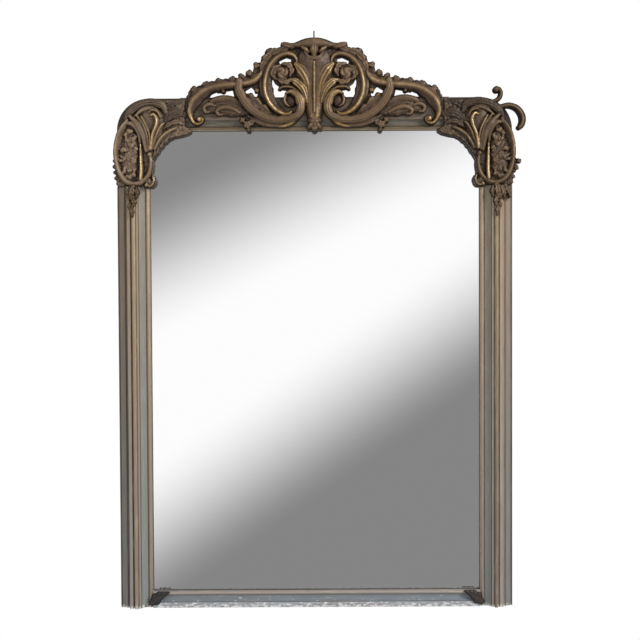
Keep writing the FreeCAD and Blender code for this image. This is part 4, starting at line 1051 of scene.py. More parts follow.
@dataclass
class Crest:
    """The pierced crest, drawn as its right half in squares from the middle of the rail's top."""

    step: float = 1.6
    reach: float = 418.0
    below: float = 115.0
    above: float = 196.0
    ground_rise: float = 4.0
    knuckle_radius: float = 1.2
    throat: tuple[float, float] = (0.0, 13.2)
    throat_radii: tuple[float, float] = (1.9, 0.7)
    throat_floor: float = 8.0
    vein_seed: int = 3
    vein_depth: float = 3.0
    foot: tuple[float, float] = (0.0, -0.4)
    rim: Points = ((40.0, -0.4), (39.4, 1.0), (38.9, 2.3), (37.9, 3.3), (36.8, 3.1), (35.5, 3.8), (34.4, 4.4),
                   (33.1, 4.2), (31.1, 4.9), (30.0, 5.5), (28.7, 5.1), (26.5, 5.3), (25.4, 5.8), (23.9, 6.0),
                   (23.0, 6.5), (21.5, 6.4), (21.2, 7.3), (20.3, 7.9), (19.1, 7.9), (18.9, 8.9), (18.6, 9.9),
                   (17.8, 10.6), (16.7, 10.8), (16.3, 12.0), (15.9, 13.0), (15.4, 13.4), (15.1, 14.5),
                   (14.2, 15.2), (12.9, 15.2), (11.6, 15.2), (10.4, 15.5), (10.2, 16.6), (9.3, 17.0))
    brow: Points = ((8.0, 16.9), (6.6, 16.7), (5.2, 17.3), (3.8, 17.9), (2.4, 18.3), (1.2, 18.5), (0, 18.5))
    eyelet: Points = ((7.2, 11.0), (7.3, 11.9), (8.7, 12.3), (10.9, 11.3), (10.6, 10.2), (8.6, 10.8))
    hollow: Points = ((13.0, 5.7), (13.5, 3.7), (12.7, 2.8), (12.7, 1.1), (12.2, 0.0), (9.1, 0.0), (8.8, 0.6),
                      (7.9, 1.3), (8.7, 2.1), (10.1, 2.3), (10.7, 1.8), (11.3, 2.5), (11.0, 3.4), (12.3, 4.3))
    gap: Points = ((17.5, 1.5), (18.3, 1.8), (19.7, 3.2), (21.5, 2.1), (21.7, 0.9), (20.2, 1.1), (19.2, 0.8),
                   (18.6, 0.0), (18.0, 0.0))
    window: Points = ((25.5, 2.3), (27.5, 2.0), (28.3, 1.3), (29.8, 1.5), (31.5, 2.0), (32.9, 0.0),
                      (25.0, 0.0))
    knuckles: Points = ((37.4, 2.6), (33.8, 4.1), (29.8, 5.0), (25.6, 5.6), (22.8, 6.4), (20.3, 7.5),
                        (18.0, 9.9), (15.4, 12.2), (14.0, 14.0), (9.4, 16.0))
    nodes: Sequence[str] = ("crest_ground", "crest_left_c_scroll", "crest_right_c_scroll",
                            "crest_left_s_scroll", "crest_right_s_scroll", "crest_raffle_leaves",
                            "crest_sweep_leaves", "crest_frieze_sprays", "crest_base_volutes",
                            "crest_rosettes", "crest_palmette", "crest_cap_leaf")

    def bands(self) -> list[Band | Bloom]:
        """List the carving from the back to the front; gilt below zero is painted shade.

        Returns:
            The bands and flowers of the right half.
        """
        return [
            # Long scroll to the side, with a scalloped leaf along its back.
            Band(((16.4, 8.0), (16.7, 6.9), (17.6, 5.8), (19.0, 4.9), (21.4, 4.2), (25.4, 3.8), (28.4, 3.6),
                  (30.8, 3.2), (33.2, 2.5), (35.4, 1.2), (37.3, -0.5), (38.6, -2.6), (39.0, -4.9),
                  (38.3, -7.0), (36.9, -8.2), (35.4, -8.0), (34.8, -6.9), (35.5, -6.1), (36.3, -6.5)),
                 (0.8, 1.6, 1.9, 2.0, 2.2, 2.3, 2.3, 2.3, 2.3, 2.3, 2.0, 1.4, 0.9, 0.8, 0.7, 0.65, 0.6, 0.5,
                  0.45),
                 (0.5, 0.7, 0.9, 1.0, 1.0, 1.4, 1.4, 1.5, 1.8, 2.2, 2.6, 2.2, 1.6, 1.0, 0.7, 0.6, 0.55, 0.5,
                  0.45),
                 rise=27, shape=Shape.SCROLL, bead=7.5, lobes=10, scallop=0.3,
                 gilt=(0.3, 0.4, 0.45, 0.5, 0.5, 0.35, 0.3, 0.3, 0.3, 0.3, 0.35, 0.5, 0.65, 0.8, 0.9, 1, 1,
                       1, 1)),
            Bloom((35.9, -6.9), 0.9, 0, 28, gilt=1.0),
            # Lobes of the same leaf on the inner side, over the window.
            Bloom((28.4, 1.9), 0.8, 0, 13),
            Bloom((30.0, 2.1), 0.7, 0, 12),
            # Leaf spray on the frieze between the long scroll and the strut.
            Band(((21.4, -4.4), (25.2, -3.4), (29.2, -2.8), (33.6, -3.6)), (1.6, 2.9, 2.9, 1.2), rise=15,
                 shape=Shape.REED, flutes=7, flute_depth=0.24, crease=1.0, gilt=-0.15),
            Band(((22.0, -2.6), (25.0, -0.8), (28.4, -0.3), (31.6, -1.0), (33.4, -2.6)),
                 (0.6, 0.9, 1.0, 0.9, 0.4), rise=17, shape=Shape.REED, flutes=3, flute_depth=0.2, crease=1.0),
            Band(((23.4, -4.8), (26.0, -3.4), (28.6, -3.2), (30.4, -4.2), (30.0, -5.4), (28.8, -5.4)),
                 (0.5, 0.8, 0.8, 0.7, 0.6, 0.4), rise=20, shape=Shape.REED, flutes=3, flute_depth=0.2,
                 crease=1.5),
            Band(((31.0, -2.6), (33.0, -2.2), (34.4, -3.2), (34.0, -4.6), (32.8, -4.6)),
                 (0.4, 0.7, 0.7, 0.6, 0.4), rise=19, shape=Shape.REED, flutes=2, flute_depth=0.2, crease=1.5),
            # Raffle leaf outside the round scroll.
            Band(((4.4, 16.2), (7.4, 15.7), (10.2, 14.8), (12.8, 13.8), (14.6, 12.3), (15.8, 10.5),
                  (16.6, 8.8)),
                 (0.9, 0.9, 0.7, 1.3, 1.3, 1.1, 0.6), (0.8, 1.1, 1.2, 1.2, 1.1, 1.0, 0.6), rise=18, lobes=5,
                 scallop=0.35),
            Band(((6.2, 15.8), (8.2, 16.0), (9.8, 16.4)), (0.6, 0.9, 0.6), rise=22),
            *[Bloom(spot, 1.15, 3, 13, twist=1.0, turn=k) for k, spot in enumerate(self.knuckles)],
            # Leafy flower inside the round scroll.
            Bloom((10.2, 7.4), 2.9, 0, 15),
            Band(((10.8, 9.8), (12.4, 8.6), (12.8, 6.8), (11.9, 5.4)), (0.5, 1.1, 1.1, 0.4), rise=21, lobes=3,
                 scallop=0.3, crease=1.5),
            Band(((11.4, 5.6), (9.8, 4.7), (8.2, 4.7), (7.2, 5.6)), (0.5, 1.0, 1.0, 0.4), rise=21, lobes=3,
                 scallop=0.3, crease=1.5),
            Band(((7.5, 6.6), (7.0, 8.2), (7.9, 9.8), (9.8, 10.3)), (0.5, 1.0, 1.1, 0.5), rise=22, lobes=3,
                 scallop=0.3, crease=1.5),
            Bloom((9.9, 7.4), 2.3, 3, 25, twist=2.6, turn=0.6),
            Bloom((10.0, 7.5), 1.0, 2, 27, twist=2.0),
            # Round scroll.
            Band(((5.4, 11.0), (5.7, 12.0), (6.6, 12.9), (8.4, 13.3), (10.7, 12.7), (12.7, 11.1), (14.2, 8.8),
                  (15.1, 6.0), (15.4, 3.3), (15.0, 0.5), (13.8, -2.0), (11.8, -4.2), (9.5, -5.4), (7.8, -5.3),
                  (7.1, -4.6)),
                 (0.4, 0.6, 0.9, 1.3, 1.6, 1.8, 1.9, 1.9, 1.8, 1.6, 1.3, 1.0, 0.7, 0.6, 0.5),
                 (0.4, 0.5, 0.6, 0.7, 0.9, 1.2, 1.6, 2.0, 2.4, 2.4, 2.2, 1.8, 1.4, 1.0, 0.5),
                 rise=28, shape=Shape.SCROLL, bead=5.0, wash=0.4,
                 gilt=(0.4, 0.4, 0.35, 0.3, 0.3, 0.3, 0.35, 0.5, 0.65, 0.8, 1, 1, 1, 1, 0.9)),
            # Ragged leaf in the gap beside it.
            Band(((13.4, -5.4), (15.8, -3.8), (18.2, -1.8), (20.2, 0.0), (21.2, 0.8)),
                 (0.7, 1.6, 1.9, 1.5, 0.5), rise=22, lobes=3, scallop=0.34, gilt=0.1),
            Bloom((19.8, 0.6), 0.8, 0, 18),
            Bloom((17.9, 2.0), 0.9, 4, 15, twist=0.8),
            # Shell of the palmette and its fronds, the outer ones first.
            Band(((0.0, -6.0), (0.0, -1.0), (0.0, 4.0), (0.0, 8.0), (0.0, 11.5)), (2.4, 3.6, 5.2, 6.2, 5.4),
                 rise=24, shape=Shape.ROUND, crease=0.0, gilt=(0.5, 0.5, 0.35, -0.1, -0.25)),
            Band(((2.4, -1.4), (4.6, 1.4), (7.2, 2.9), (9.6, 3.1), (11.0, 2.4)), (0.5, 0.9, 1.1, 0.9, 0.4),
                 rise=21, shape=Shape.SCROLL, gilt=0.2, bead=2.6, crease=1.2),
            Band(((3.3, -3.2), (3.6, -1.3), (4.5, 0.2), (5.7, 1.3), (7.0, 1.9)), (0.6, 1.0, 1.1, 0.9, 0.4),
                 rise=24, shape=Shape.REED, flutes=2, flute_depth=0.24, gilt=0.7, crease=1.2),
            Band(((2.2, -1.6), (2.9, 1.1), (4.0, 3.1), (5.8, 4.7), (7.2, 5.3)), (0.7, 1.2, 1.4, 1.3, 0.6),
                 rise=26, shape=Shape.REED, flutes=3, flute_depth=0.22, gilt=0.75, crease=1.2),
            Band(((1.6, 0.6), (1.9, 3.7), (2.7, 6.2), (4.1, 8.5), (5.6, 10.0)), (0.8, 1.3, 1.7, 1.8, 0.9),
                 rise=27, shape=Shape.REED, flutes=3, flute_depth=0.22, gilt=0.75, crease=1.2),
            Band(((0.0, -6.0), (0.0, -2.0), (0.0, 3.0), (0.0, 7.0), (0.0, 11.0)), (1.9, 1.8, 2.0, 2.7, 4.0),
                 rise=27, shape=Shape.REED, flutes=2, flute_depth=0.12, gilt=(0.55, 0.55, 0.35, -0.05, -0.2)),
            Band(((0.0, -4.8), (0.0, 3.0), (0.0, 10.7)), (0.32, 0.4, 0.36), rise=30, shape=Shape.ROUND,
                 gilt=0.95),
            # Sweeping leaf: it rises out of the volute, runs along the frieze and ends as a strut.
            Bloom((7.4, -1.4), 2.0, 0, 15, gilt=-0.5),
            Band(((8.9, 1.0), (7.4, 1.6), (5.7, 0.8), (4.6, -1.2), (4.3, -3.6), (5.1, -5.5), (7.6, -6.8),
                  (10.7, -7.1), (14.2, -6.7), (17.7, -5.1), (20.9, -2.2), (22.8, 0.9), (23.5, 3.0),
                  (23.3, 4.7)),
                 (0.4, 0.8, 1.2, 1.4, 1.5, 1.5, 1.4, 1.4, 1.5, 1.6, 1.6, 1.6, 1.5, 1.3),
                 rise=27, lift=2, shape=Shape.REED, flutes=4, flute_depth=0.16, lobes=11, scallop=0.2,
                 gilt=(0.6, 0.6, 0.65, 0.6, 0.5, 0.35, 0.25, 0.2, 0.1, 0.1, 0.05, 0, 0, 0)),
            Band(((8.9, 0.4), (9.3, -0.8), (8.9, -2.2), (7.8, -3.0)), (0.4, 0.6, 0.6, 0.3), rise=22,
                 shape=Shape.ROUND, gilt=0.3),
            Band(((5.6, -7.4), (7.4, -8.4), (9.6, -9.1), (12.2, -9.4)), (0.5, 0.8, 0.7, 0.3), rise=20,
                 shape=Shape.ROUND, gilt=0.95),
            Band(((6.4, -7.7), (10.0, -8.6), (14.4, -8.5), (18.0, -7.4), (20.6, -5.9)),
                 (0.5, 0.9, 1.1, 1.0, 0.5), rise=19, shape=Shape.REED, flutes=2, flute_depth=0.2, gilt=0.25),
            # Drop leaf under the strut, over the edge of the glass.
            Bloom((22.4, -7.2), 1.1, 4, 18, twist=0.9),
            Bloom((19.6, -7.9), 1.2, 4, 18, twist=-0.9, turn=0.5),
            Bloom((20.9, -8.6), 1.5, 5, 21, twist=1.2, turn=0.3),
            Bloom((20.6, -10.2), 0.8, 0, 14),
            # Collar and curled cap leaf over the palmette.
            Band(((-3.0, 14.0), (-1.7, 12.4), (0.0, 11.7), (1.7, 12.4), (3.0, 14.0)),
                 (0.4, 0.6, 0.7, 0.6, 0.4), rise=28, shape=Shape.ROUND, gilt=-0.1),
            Band(((-8.4, 16.2), (-5.6, 16.0), (-2.8, 16.3), (0.0, 16.6), (2.8, 16.3), (5.6, 16.0),
                  (8.4, 16.2)),
                 (0.3, 0.8, 1.5, 1.8, 1.5, 0.8, 0.3), (0.3, 0.8, 1.4, 2.0, 1.4, 0.8, 0.3), rise=33,
                 shape=Shape.ROUND, gilt=(-0.5, -0.5, -0.2, 0.3, -0.2, -0.5, -0.5), crease=1.0),
            # Leafy boss at the foot of the palmette.
            Bloom((1.5, -7.4), 0.9, 4, 15, twist=0.6),
            Bloom((1.7, -9.4), 1.0, 4, 16, twist=-0.6),
            Bloom((0.0, -8.7), 2.4, 5, 22, turn=1.57, twist=0.8),
        ]

    def tongue(self) -> list[Band]:
        """List the fluted tongue over the cap's throat and the gilt lip beside it.

        Returns:
            The bands.
        """
        return [
            Band(((0.0, 12.9), (0.0, 14.4), (0.0, 16.4)), (0.9, 1.5, 1.6), rise=33, shape=Shape.REED,
                 flutes=4, flute_depth=0.14, crease=1.0, gilt=(0.1, 0.5, 0.2)),
            Band(((1.7, 13.7), (2.5, 14.5), (3.7, 15.2)), (0.4, 0.8, 0.5), rise=31, shape=Shape.ROUND,
                 crease=1.5, gilt=(0.5, 0.4, 0.0)),
        ]

    def build(self, palette: Palette) -> None:
        """Carve the crest and settle it on the frame.

        Args:
            palette: The finishes.
        """
        relief = Relief((0.0, self.reach), (FRAME_TOP - self.below, FRAME_TOP + self.above), self.step,
                        (0.0, FRAME_TOP))
        relief.ground([self.foot, *arched(self.rim, self.knuckle_radius), *self.brow], self.ground_rise)
        for hole in (self.eyelet, self.hollow, self.gap, self.window):
            relief.ground(hole, 0.0, hole=True)
        relief.cut(self.bands())
        relief.sink(self.throat, self.throat_radii, self.throat_floor)
        relief.cut(self.tongue())
        relief.veined(self.vein_seed, self.vein_depth)
        piece = relief.doubled().piece("crest_carving", palette[Finish.CARVING], BED, CARCASS)
        settle(piece, "bronzed_carving", *self.nodes)


@dataclass
class Corners:
    """The two top corners, drawn as the left one in squares from the frame's outer corner."""

    step: float = 1.5
    outside: float = 42.0
    inward: float = 240.0
    below: float = 290.0
    above: float = 36.0
    ground_rise: float = 8.0
    recess: tuple[float, float] = (4.4, -17.0)
    recess_radii: tuple[float, float] = (4.4, 9.6)
    recess_floor: float = 7.0
    bouquet_seed: int = 11
    vein_seeds: tuple[int, int] = (5, 6)
    vein_depth: float = 3.0
    outline: Points = ((21.7, -0.6), (17.9, -0.6), (14.9, -0.5), (11.6, -0.3), (8.6, -1.0), (6.5, -2.2),
                       (3.8, -4.1), (3.3, -5.6), (2.3, -7.3), (1.0, -9.2), (0.0, -11.7), (-0.7, -14.3),
                       (-0.8, -16.4), (-0.4, -18.1), (-0.6, -20.6), (-0.4, -23.1), (0.0, -26.5),
                       (0.3, -27.7), (8.7, -27.7), (9.2, -28.3), (11.4, -28.0), (12.0, -26.4),
                       (11.4, -24.4), (11.0, -22.4), (11.1, -20.6), (11.6, -19.4), (13.0, -17.1),
                       (14.5, -15.0), (15.8, -13.8), (17.5, -12.6), (19.8, -12.2), (22.1, -11.6),
                       (23.4, -10.8), (23.2, -9.9), (21.7, -8.9))
    flowers: Sequence[tuple[float, float, float]] = (
        (4.4, -10.6, 1.2), (3.2, -12.4, 1.3), (5.6, -12.8, 1.3), (4.2, -14.6, 1.7), (2.4, -16.2, 1.3),
        (5.8, -16.4, 1.4), (3.8, -18.0, 1.8), (2.2, -19.8, 1.2), (5.6, -19.8, 1.5), (4.0, -21.6, 1.6),
        (2.6, -23.0, 1.1), (5.6, -23.2, 1.3), (4.2, -24.8, 1.2))
    frill: Points = ((-0.5, -19.6), (-0.6, -21.4), (-0.4, -23.2), (-0.1, -25.0), (0.5, -26.7))

    def bands(self) -> list[Band | Bloom]:
        """List the carving that both corners share, from the back to the front; gilt below zero is painted
        shade.

        Returns:
            The bands and flowers of the left corner.
        """
        return [
            # Sheath over the top of the corner, its paint darkened as painted shade.
            Band(((15.6, -4.6), (14.4, -2.4), (10.7, -1.7), (7.0, -2.6), (4.2, -4.6), (2.9, -7.0)),
                 (0.8, 1.4, 1.5, 1.5, 1.3, 0.6), rise=22, shape=Shape.REED, flutes=4, flute_depth=0.26,
                 gilt=-0.4),
            Band(((14.2, -5.8), (12.6, -3.9), (10.4, -3.4), (8.0, -4.2), (6.0, -5.8)),
                 (0.4, 0.6, 0.7, 0.7, 0.4), rise=24, shape=Shape.REED, flutes=2, flute_depth=0.26),
            # Leaves on the rail beside it, their paint darkened as painted shade.
            Band(((14.4, -9.0), (16.2, -6.4), (18.8, -5.0), (21.4, -5.2)), (0.8, 2.0, 2.4, 1.2), rise=14,
                 shape=Shape.REED, flutes=5, flute_depth=0.2, crease=1.0, gilt=-0.5),
            Band(((14.6, -5.6), (15.8, -3.2), (18.0, -1.8), (20.6, -1.6)), (0.4, 0.9, 1.0, 0.5), rise=12,
                 crease=1.0, gilt=-0.6),
            Band(((15.0, -9.6), (17.0, -8.2), (19.2, -7.6), (21.2, -8.4)), (0.5, 0.9, 0.9, 0.4), rise=16,
                 lobes=3, scallop=0.25, crease=1.2, gilt=-0.4),
            # Leaf along the rounded corner of the glass.
            Band(((23.2, -10.4), (20.6, -11.1), (17.6, -11.6), (15.4, -12.9), (13.6, -14.9), (12.2, -17.2),
                  (11.2, -19.2)), (0.4, 0.9, 1.0, 1.1, 1.0, 0.8, 0.3), rise=11, lobes=7, scallop=0.4),
            # Fan of ribs that opens from the side of the cartouche, on a swelling.
            Band(((10.6, -16.6), (11.6, -11.6), (11.2, -6.4)), (1.0, 3.4, 4.0), rise=19, shape=Shape.ROUND,
                 crease=0.0),
            Band(((12.0, -16.0), (14.1, -12.5), (16.6, -10.5), (18.9, -9.4)), (0.6, 1.0, 0.9, 0.3), rise=22,
                 shape=Shape.SCROLL, gilt=0.4, wash=0.3, bead=3.0),
            Band(((11.4, -15.8), (12.8, -11.5), (14.1, -8.9), (15.0, -8.0)), (0.6, 1.1, 1.0, 0.4), rise=25,
                 shape=Shape.SCROLL, gilt=0.45, wash=0.3, bead=3.2),
            Band(((10.2, -4.7), (11.6, -4.0), (13.2, -4.7), (14.0, -6.4)), (0.3, 0.4, 0.4, 0.3), rise=26,
                 shape=Shape.ROUND, gilt=0.2),
            Band(((9.5, -16.6), (8.8, -12.2), (6.9, -8.4), (4.4, -5.8)), (0.7, 1.3, 1.4, 0.6), rise=26,
                 shape=Shape.ROUND),
            Band(((10.2, -16.4), (9.9, -12.2), (8.6, -8.4), (6.5, -5.6)), (0.6, 1.1, 1.1, 0.4), rise=28,
                 shape=Shape.SCROLL, gilt=0.2, bead=3.6),
            Band(((10.6, -16.0), (10.6, -11.7), (9.4, -8.4), (8.0, -5.9)), (0.6, 0.9, 0.9, 0.4), rise=30,
                 shape=Shape.SCROLL, gilt=0.5, wash=0.3, bead=3.0),
            Band(((10.9, -16.0), (11.6, -11.7), (12.7, -8.9), (12.9, -6.8), (12.0, -5.4), (11.0, -5.7)),
                 (0.6, 0.95, 1.0, 0.9, 0.7, 0.5), rise=33, shape=Shape.SCROLL, gilt=0.9, bead=4.2),
            # Cartouche: arch, flowers, ring and gilt reed.
            Band(((3.0, -8.0), (5.0, -8.2), (6.9, -10.4), (7.6, -14.0)), (0.6, 0.9, 0.9, 0.5), rise=21,
                 shape=Shape.ROUND),
            Band(((4.4, -10.2), (4.6, -14.0), (4.4, -18.0), (4.2, -22.0), (4.4, -25.4)),
                 (1.4, 2.4, 3.0, 2.7, 1.4), rise=16, shape=Shape.ROUND, crease=0.5),
            *self.bouquet(),
            *[Bloom(spot, 0.65, 0, 10) for spot in self.frill],
            Band(((10.6, -17.8), (10.9, -21.0), (10.0, -24.2), (7.9, -26.2), (5.2, -26.9), (2.7, -25.6),
                  (0.9, -23.0), (-0.1, -19.6), (-0.3, -15.6), (0.6, -11.6), (1.9, -9.0), (3.6, -6.9)),
                 (0.5, 0.6, 0.8, 0.9, 0.9, 0.9, 0.8, 0.6, 0.5, 0.6, 0.6, 0.4),
                 (0.6, 0.8, 0.9, 1.0, 1.0, 1.0, 1.0, 1.1, 1.5, 1.8, 1.5, 0.6),
                 rise=24, shape=Shape.SCROLL, bead=6.0,
                 gilt=(0.05, 0.05, 0.05, 0.1, 0.15, 0.05, 0.05, 0.2, 0.6, 0.2, 0.05, 0.05)),
            Band(((7.7, -14.6), (7.8, -18.6), (7.9, -22.6), (7.7, -25.4)), (0.35, 0.5, 0.65, 0.7), rise=28,
                 shape=Shape.ROUND, gilt=1.0),
            Bloom((10.5, -17.7), 0.8, 0, 25),
            Bloom((10.4, -26.6), 1.6, 5, 17, twist=1.2),
            Band(((11.4, -24.4), (11.8, -25.6), (11.4, -27.0), (10.4, -27.6), (9.5, -26.9)),
                 (0.3, 0.5, 0.55, 0.5, 0.4), rise=24, shape=Shape.SCROLL, gilt=0.5, bead=2.2),
            Bloom((9.4, -27.2), 0.7, 0, 20, gilt=0.8),
        ]

    def bouquet(self) -> list[Band | Bloom]:
        """Strew the loose leaves and small flowers that fill the cartouche, from a fixed seed.

        Returns:
            The leaves and flowers.
        """
        rng = np.random.default_rng(self.bouquet_seed)
        made: list[Band | Bloom] = []
        for number, (x, z, radius) in enumerate(self.flowers):
            for turn in rng.uniform(0, 2 * math.pi, 3):
                reach = radius * rng.uniform(0.9, 1.5)
                bend = turn + rng.uniform(-0.7, 0.7)
                middle = (x + 0.55 * reach * math.cos(bend), z + 0.55 * reach * math.sin(bend))
                tip = (x + reach * math.cos(turn), z + reach * math.sin(turn))
                made.append(Band(((x, z), middle, tip), (0.35 * radius, 0.55 * radius, 0.2 * radius),
                                 rise=rng.uniform(17, 22), lobes=2, scallop=0.2, crease=1.2))
            if number % 2 == 0:
                made.append(Bloom((x, z), 0.75 * radius, 5, rng.uniform(20, 23), twist=1.2,
                                  turn=float(number)))
        return made

    def curls(self) -> list[Band | Bloom]:
        """List the two free curls and the leaf tips that only the right corner has kept.

        Returns:
            The bands and flowers, drawn as for the left corner.
        """
        return [
            Band(((7.4, -1.7), (5.6, -1.5), (4.3, -0.6), (3.8, 0.8), (4.2, 2.0), (5.0, 2.4)),
                 (0.5, 0.7, 0.75, 0.7, 0.7, 0.7), rise=22, shape=Shape.SCROLL, bead=2.6),
            Bloom((5.2, 2.0), 1.1, 0, 20),
            Band(((5.6, -3.6), (3.4, -3.2), (1.3, -2.9), (-0.9, -3.6), (-2.4, -5.2), (-3.0, -7.2),
                  (-2.6, -9.0), (-1.9, -9.8)),
                 (0.5, 0.8, 0.9, 1.0, 1.1, 1.1, 1.0, 0.8), rise=22, shape=Shape.SCROLL, bead=3.4),
            Bloom((-1.8, -20.2), 0.9, 4, 15, twist=0.6),
            Bloom((-1.0, -22.2), 0.9, 4, 14, twist=-0.6),
        ]

    def build(self, palette: Palette) -> None:
        """Carve both corners and settle them on the frame.

        Args:
            palette: The finishes.
        """
        relief = Relief((-HALF_WIDTH - self.outside, -HALF_WIDTH + self.inward),
                        (FRAME_TOP - self.below, FRAME_TOP + self.above), self.step, (-HALF_WIDTH, FRAME_TOP))
        relief.ground(self.outline, self.ground_rise)
        relief.sink(self.recess, self.recess_radii, self.recess_floor)
        relief.cut(self.bands())
        right = relief.copied()
        right.cut(self.curls())
        for made, seed in zip((relief, right), self.vein_seeds):
            made.veined(seed, self.vein_depth)
        shared = ("corner_flowers", "corner_edge_leaves", "corner_sprays", "corner_volutes")
        curls = ("right_corner_upper_curl", "right_corner_outer_curl")
        for side, made, finish, own in (("left", relief, Finish.LEFT_CARVING, ()),
                                        ("right", right.turned(), Finish.RIGHT_CARVING, curls)):
            piece = made.piece(f"{side}_corner_carving", palette[finish], BED, CARCASS)
            settle(piece, "bronzed_carving", f"{side}_corner_block", f"{side}_corner_cartouche",
                   f"{side}_corner_fan", *own, *shared)


@dataclass
class Drops:
    """The husk drops on the stiles and the leaves at the lower corners."""

    step: float = 1.2
    husk_across: tuple[float, float] = (1.0, 84.0)
    husk_below: tuple[float, float] = (380.0, 262.0)
    husk_bed: float = 57.0
    husk_back: float = 36.0
    leaf_across: tuple[float, float] = (-20.0, 64.0)
    leaf_up: tuple[float, float] = (2.0, 72.0)
    leaf_bed: float = 48.0
    leaf_back: float = 40.0
    husk: Sequence[Band] = (
        Band(((6.4, -28.0), (6.6, -29.8), (6.2, -31.6)), (0.5, 0.8, 0.3), rise=16, lobes=2, scallop=0.3),
        Band(((4.4, -28.0), (3.9, -30.2), (4.4, -32.4)), (0.6, 0.8, 0.3), rise=17, lobes=2, scallop=0.3),
        Band(((4.6, -32.6), (4.2, -34.0), (4.8, -35.4)), (0.4, 0.7, 0.3), rise=17, lobes=2, scallop=0.2),
        Band(((5.2, -34.0), (5.0, -35.8), (5.2, -37.4)), (0.5, 0.9, 0.3), rise=18, lobes=2, scallop=0.3),
        Band(((5.0, -31.0), (5.6, -32.8), (5.0, -34.4)), (0.5, 0.9, 0.4), rise=19, lobes=2, scallop=0.3),
        Band(((5.4, -27.6), (5.0, -29.6), (4.7, -31.6)), (0.8, 1.2, 0.4), rise=21, lobes=3, scallop=0.3),
    )
    right_leaves: Sequence[Band] = (
        Band(((2.6, -28.0), (1.6, -29.4), (1.0, -31.4)), (0.8, 1.0, 0.4), rise=12, lobes=3, scallop=0.35),
        Band(((3.6, -28.2), (3.0, -30.2), (2.8, -31.8)), (0.6, 0.9, 0.3), rise=16, lobes=3, scallop=0.3),
    )
    foot: Sequence[Band] = (
        Band(((-0.2, 1.7), (0.9, 2.9), (2.4, 3.9), (5.0, 4.8)), (1.0, 1.7, 1.4, 0.3), rise=8, lobes=4,
             scallop=0.2),
        Band(((-0.2, 1.5), (1.2, 2.3), (2.4, 3.4)), (0.7, 1.4, 0.7), rise=9, shape=Shape.ROUND),
    )

    def build(self, palette: Palette) -> None:
        """Carve the four small pieces and settle them on the frame.

        Args:
            palette: The finishes.
        """
        left, right = (-HALF_WIDTH + across for across in self.husk_across)
        low, high = (FRAME_TOP - below for below in self.husk_below)
        drop = Relief((left, right), (low, high), self.step, (-HALF_WIDTH, FRAME_TOP))
        left, right = (-HALF_SIGHT + across for across in self.leaf_across)
        leaf = Relief((left, right), self.leaf_up, self.step, (-HALF_SIGHT, 0.0))
        drop.cut(self.husk)
        leaf.cut(self.foot)
        fuller = drop.copied()
        fuller.cut(self.right_leaves)
        for side, made in (("left", drop), ("right", fuller.turned())):
            piece = made.piece(f"{side}_husk_drop", palette[Finish.CARVING], self.husk_bed, self.husk_back)
            settle(piece, "bronzed_carving", "husk_drops")
        for side, made in (("left", leaf), ("right", leaf.turned())):
            piece = made.piece(f"{side}_foot_leaf", palette[Finish.DARK_CARVING], self.leaf_bed,
                               self.leaf_back)
            settle(piece, "bronzed_carving", "lower_corner_leaves")


# Mouldings


@dataclass(frozen=True)
class Edge:
    """One point of a moulding's section: across, height, and how it is painted there."""

    across: float
    up: float
    tone: float = 0.3
    cool: float = 0.0
    gilt: float = 0.0
    chip: float = 0.0


def bowed(start: tuple[float, float], end: tuple[float, float], sag: float, count: int,
          **paint: float) -> list[Edge]:
    """Return points of a hollow or a swelling between two places.

    Args:
        start: First place, across and up.
        end: Last place.
        sag: How far the middle lies to the right of the straight way, as a share of its length.
        count: Number of points.
        paint: Values for every point.

    Returns:
        The points, ends included.
    """
    a, b = np.array(start), np.array(end)
    way = b - a
    right = np.array([way[1], -way[0]])
    spots = [a + way * t + right * sag * 4 * t * (1 - t) for t in np.linspace(0, 1, count)]
    return [Edge(float(x), float(y), **paint) for x, y in spots]


def beaded(centre: float, foot: float, radius: float, first: float, last: float,
           count: int = 15) -> list[Edge]:
    """Return points of a gilt half-round bead, one half painted lighter than the other as light and shade.

    Args:
        centre: Its middle, across the section.
        foot: Height of its foot.
        radius: Its radius.
        first: Tone where it starts.
        last: Tone where it ends.
        count: Number of points.

    Returns:
        The points in order.
    """
    made: list[Edge] = []
    for share in np.linspace(0, 1, count):
        turn = math.pi * (1 - share)
        made.append(Edge(centre + radius * math.cos(turn), foot + radius * math.sin(turn),
                         first + (last - first) * float(share), gilt=0.9))
    return made


class Run(Enum):
    """The way a moulding runs along the frame."""

    UP = "up a stile"
    ALONG = "along a rail"


